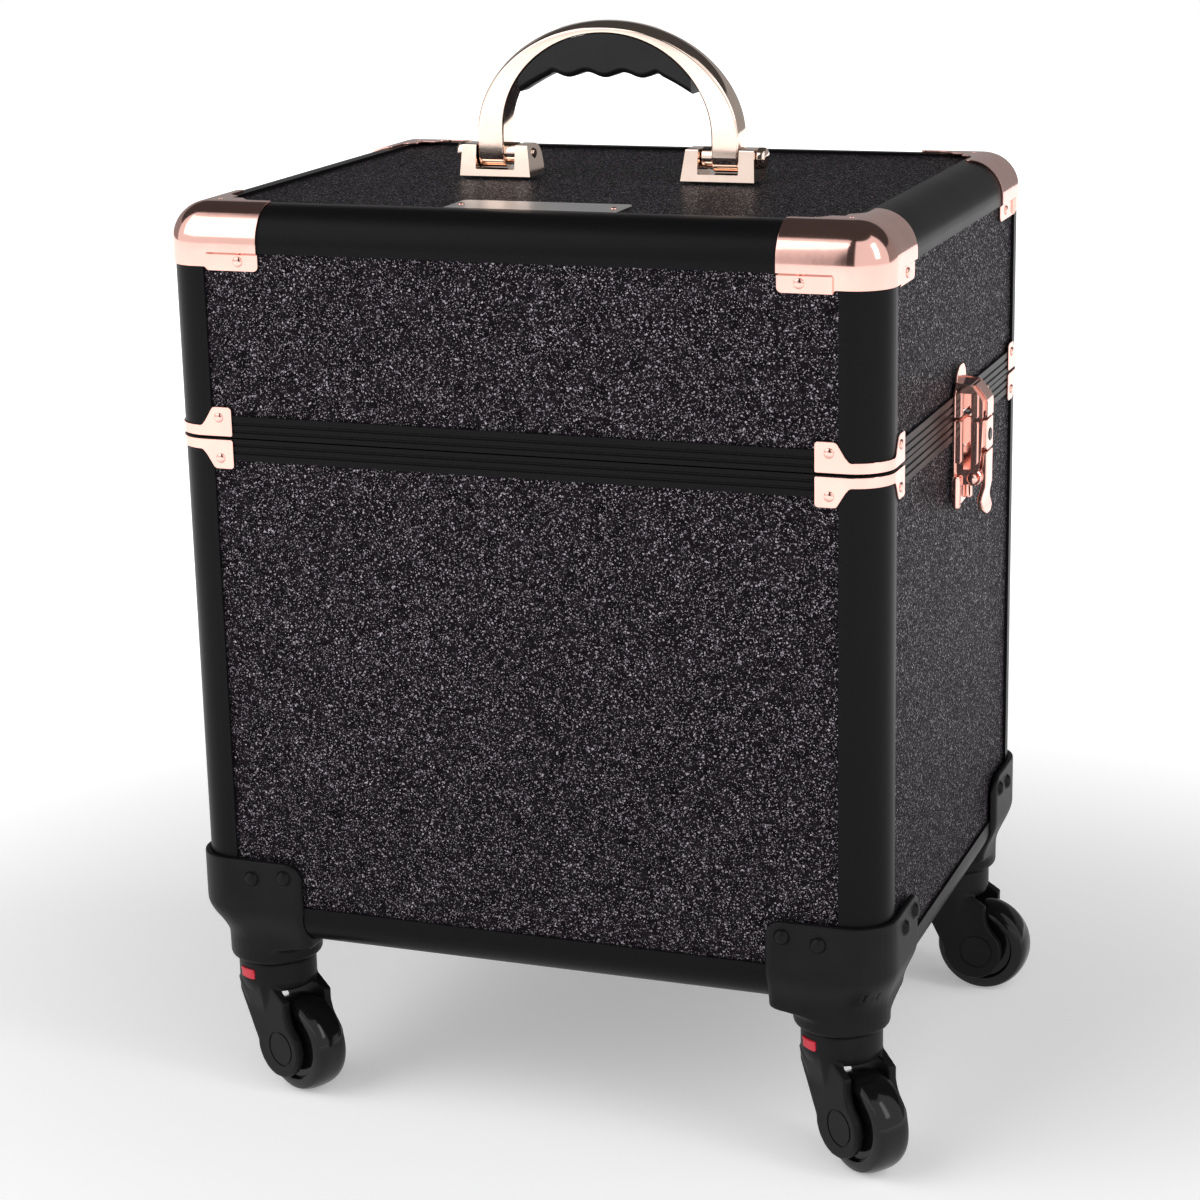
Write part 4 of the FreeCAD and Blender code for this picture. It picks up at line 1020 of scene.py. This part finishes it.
def hinge_leaf(sign, first):
    """A leaf on the back face, its knuckles rolled round the pin, with a row of rivets."""
    outline = rectangle(-LEAF_HALF, 4.8, LEAF_HALF, LEAF_DROP, 0.5, 3, 5)
    parts = [softened(slab(outline, 0, 1.2), 0.3)]
    for index in range(first, KNUCKLES, 2):
        start, end = -LEAF_HALF + index * PITCH + 0.15, -LEAF_HALF + (index + 1) * PITCH - 0.15
        parts.append(placed(barrel(1.65, 3.4, start, end, 0.4), Y, Z, (0, 0, HINGE_Y - HALF_D)))
        strap = [(start + 0.2, 0.2), (end - 0.2, 0.2), (end - 0.2, 8), (start + 0.2, 8)]
        parts.append(softened(slab(strap, 0.02, 1.22), 0.2))
    for index in range(KNUCKLES):
        parts.append(moved(dome(2.3, 1.2), -LEAF_HALF + PITCH * (index + 0.5), 13.5, 1.2))
    return placed(reflected(joined(parts), sign_y=sign), -X, Z, (0, HALF_D, SEAM_Z))


def hinge():
    piece("hinge_base_leaf", hinge_leaf(-1, 0), "hinge_lower_leaf")
    piece("hinge_lid_leaf", hinge_leaf(1, 1), "hinge_upper_leaf")
    end = LEAF_HALF + 1
    pin = placed(barrel(0, 1.6, -end, end, 0.5, 24), Y, Z, (0, HINGE_Y, SEAM_Z))
    piece("hinge_rod", pin, "hinge_pin")


# ---------------- linings
LINING_WALL = 1.0
QUILT_PITCH = 36
QUILT_RISE = 1.1
CELL = 4
HEM_CELLS = 5


def quilt(u, v):
    """How far a diamond-stitched lining stands in from its stitching, u and v in mm along the wall."""
    first, second = (u + v) / QUILT_PITCH, (u - v) / QUILT_PITCH
    return QUILT_RISE * math.sqrt(abs(math.sin(math.pi * first) * math.sin(math.pi * second)))


def lining(name, node, opens):
    """An open tray: flat outside, quilted inside, with a plain hem at its mouth."""
    near, far = low(node), high(node)
    if opens < 0:
        near.z, far.z = far.z, near.z
    size = [abs(far[axis] - near[axis]) for axis in range(3)]
    cells = [max(4, round(length / CELL)) for length in size]
    bm = bmesh.new()

    def spot(shares, inner):
        """A point of the tray from its shares along x, y and up, on the outer or the inner skin."""
        if not inner:
            return Vector([near[axis] + (far[axis] - near[axis]) * shares[axis] for axis in range(3)])
        wide = [near[axis] + LINING_WALL + (size[axis] - 2 * LINING_WALL) * shares[axis] for axis in (0, 1)]
        return Vector(wide + [near.z + opens * (LINING_WALL + (size[2] - LINING_WALL) * shares[2])])

    def skin(point, first, second, inner, normal, hem):
        """A grid of quads over one wall; the last row of a wall with a hem is the tray's mouth."""
        rows = []
        for i in range(first + 1):
            row = []
            for j in range(second + 1):
                place = spot(point(i / first, j / second), inner)
                if inner and not (hem and second - j < HEM_CELLS):
                    edge = min(i, first - i, j) if hem else min(i, first - i, j, second - j)
                    along = [place[axis] for axis in range(3) if abs(normal[axis]) < 0.5]
                    place = place + normal * quilt(*along) * min(1, edge / 3)
                row.append(bm.verts.new(place))
            rows.append(row)
        for i in range(first):
            for j in range(second):
                bm.faces.new((rows[i][j], rows[i + 1][j], rows[i + 1][j + 1], rows[i][j + 1]))
        return rows

    walls = ((lambda s, t: (s, 0, t), cells[0], cells[2], Y, True),
             (lambda s, t: (s, 1, t), cells[0], cells[2], -Y, True),
             (lambda s, t: (0, s, t), cells[1], cells[2], X, True),
             (lambda s, t: (1, s, t), cells[1], cells[2], -X, True),
             (lambda s, t: (s, t, 0), cells[0], cells[1], Z * opens, False))
    for point, first, second, normal, hem in walls:
        outer = skin(point, first, second, False, normal, hem)
        inner = skin(point, first, second, True, normal, hem)
        if hem:
            for i in range(first):
                bm.faces.new((outer[i][-1], outer[i + 1][-1], inner[i + 1][-1], inner[i][-1]))
    bmesh.ops.remove_doubles(bm, verts=bm.verts, dist=0.01)
    bmesh.ops.recalc_face_normals(bm, faces=bm.faces)
    piece(name, bm, node, 50)


def linings():
    lining("base_quilted_lining", "base_lining", 1)
    lining("lid_quilted_lining", "lid_lining", -1)


# ---------------- all pieces
for build in (clamps, caps, name_plate, housings, casters, handle, latches, hinge, linings):
    build()


# ---------------- stage, light, camera
class Sky(Tree):
    """A white world for the camera; its strength for every other ray is built from direction windows."""

    def __init__(self, name):
        scene.world = bpy.data.worlds.new(name)
        scene.world.use_nodes = True
        super().__init__(scene.world.node_tree)
        place = self.add("TexCoord", {}).outputs["Generated"]
        split = self.add("SeparateXYZ", {0: place}).outputs
        self.turn = self.maths("ARCTAN2", split["Y"], split["X"])
        self.rise = self.maths("ARCSINE", split["Z"])

    def window(self, angle, start, end, soft=0.05):
        """1 between two angles in radians, 0 outside, with soft edges."""
        rise = self.maths("MULTIPLY", self.maths("SUBTRACT", angle, start), 1 / soft)
        fall = self.maths("MULTIPLY", self.maths("SUBTRACT", end, angle), 1 / soft)
        nearest = self.maths("MINIMUM", rise, fall)
        return self.maths("MAXIMUM", self.maths("MINIMUM", nearest, 1.0), 0.0)

    def finish(self, strength):
        room = self.tree.nodes["Background"]
        room.inputs["Color"].default_value = WHITE
        self.tree.links.new(strength, room.inputs["Strength"])
        seen = self.add("Background", {"Color": WHITE})
        by_camera = self.add("LightPath", {}).outputs["Is Camera Ray"]
        mix = self.add("MixShader", {0: by_camera, 1: room.outputs[0], 2: seen.outputs[0]})
        self.tree.links.new(mix.outputs[0], self.tree.nodes["World Output"].inputs["Surface"])


def floor():
    """A pale floor that brightens into the white background with distance."""
    reach = 6
    corners = [(-reach, -reach, 0), (reach, -reach, 0), (reach, reach, 0), (-reach, reach, 0)]
    mesh = bpy.data.meshes.new("floor")
    mesh.from_pydata(corners, [], [(0, 1, 2, 3)])
    plane = shown("floor", mesh)
    paint = Nodes("floor_paint").set(Roughness=0.9, Specular_IOR_Level=0.1, Emission_Color=WHITE)
    paint.set(Base_Color=(0.9, 0.9, 0.9, 1))
    distance = paint.add("VectorMath", {0: paint.place}, operation="LENGTH").outputs["Value"]
    spread = {"Value": distance, "From Min": 0.2, "From Max": 1.1, "To Min": 0.3, "To Max": 1.05}
    glow = paint.add("MapRange", spread, interpolation_type="SMOOTHSTEP")
    paint.link(glow.outputs["Result"], "Emission Strength")
    mesh.materials.append(MATERIALS["floor_paint"])


def studio():
    """White flats to the photographer's left and right, a dimmer wall behind the case, a dark ceiling."""
    sky = Sky("studio")
    left, right = sky.window(sky.turn, -3.3, -1.82), sky.window(sky.turn, -1.46, 0.42)
    front = sky.maths("MULTIPLY", sky.maths("MAXIMUM", left, right), sky.window(sky.rise, -2, 1.12))
    back = sky.maths("MULTIPLY", sky.window(sky.turn, 0.42, 3.3), sky.window(sky.rise, -2, 0.42))
    sky.finish(sky.maths("MULTIPLY_ADD", front, 0.98, sky.maths("MULTIPLY_ADD", back, 0.27, 0.06)))


def softbox(name, place, target, size, power):
    """A rectangular area light at place, in metres, facing target."""
    data = bpy.data.lights.new(name, "AREA")
    data.shape = "RECTANGLE"
    data.size, data.size_y = size
    data.energy = power
    lamp = shown(name, data)
    lamp.location = place
    lamp.rotation_euler = (Vector(target) - Vector(place)).to_track_quat("-Z", "Y").to_euler()


def camera():
    """The viewpoint: place in metres, then turn, dip and roll in radians, and lens."""
    place = Vector((0.4785, -1.3073, BASE_Z * MM + 0.53605))
    turn, dip, roll = 0.3580, 0.2726, -0.0222
    forward = Vector((-math.sin(turn) * math.cos(dip), math.cos(turn) * math.cos(dip), -math.sin(dip)))
    right = Vector((math.cos(turn), math.sin(turn), 0))
    up = right.cross(forward)
    right, up = (right * math.cos(roll) + up * math.sin(roll), up * math.cos(roll) - right * math.sin(roll))
    data = bpy.data.cameras.new("camera")
    data.sensor_width = 36
    data.lens = 87.56
    data.clip_end = 50
    viewer = shown("camera", data)
    axes = Matrix((right, up, -forward)).transposed().to_4x4()
    viewer.matrix_world = Matrix.Translation(place) @ axes
    scene.camera = viewer


floor()
studio()
softbox("key", (-1.5, -1.6, 1.9), (0, 0, 0.3), (2.2, 2.2), 20)
softbox("fill", (1.9, -0.6, 1.4), (0, 0, 0.3), (0.5, 1.4), 7)
camera()
scene.view_settings.view_transform = "Standard"
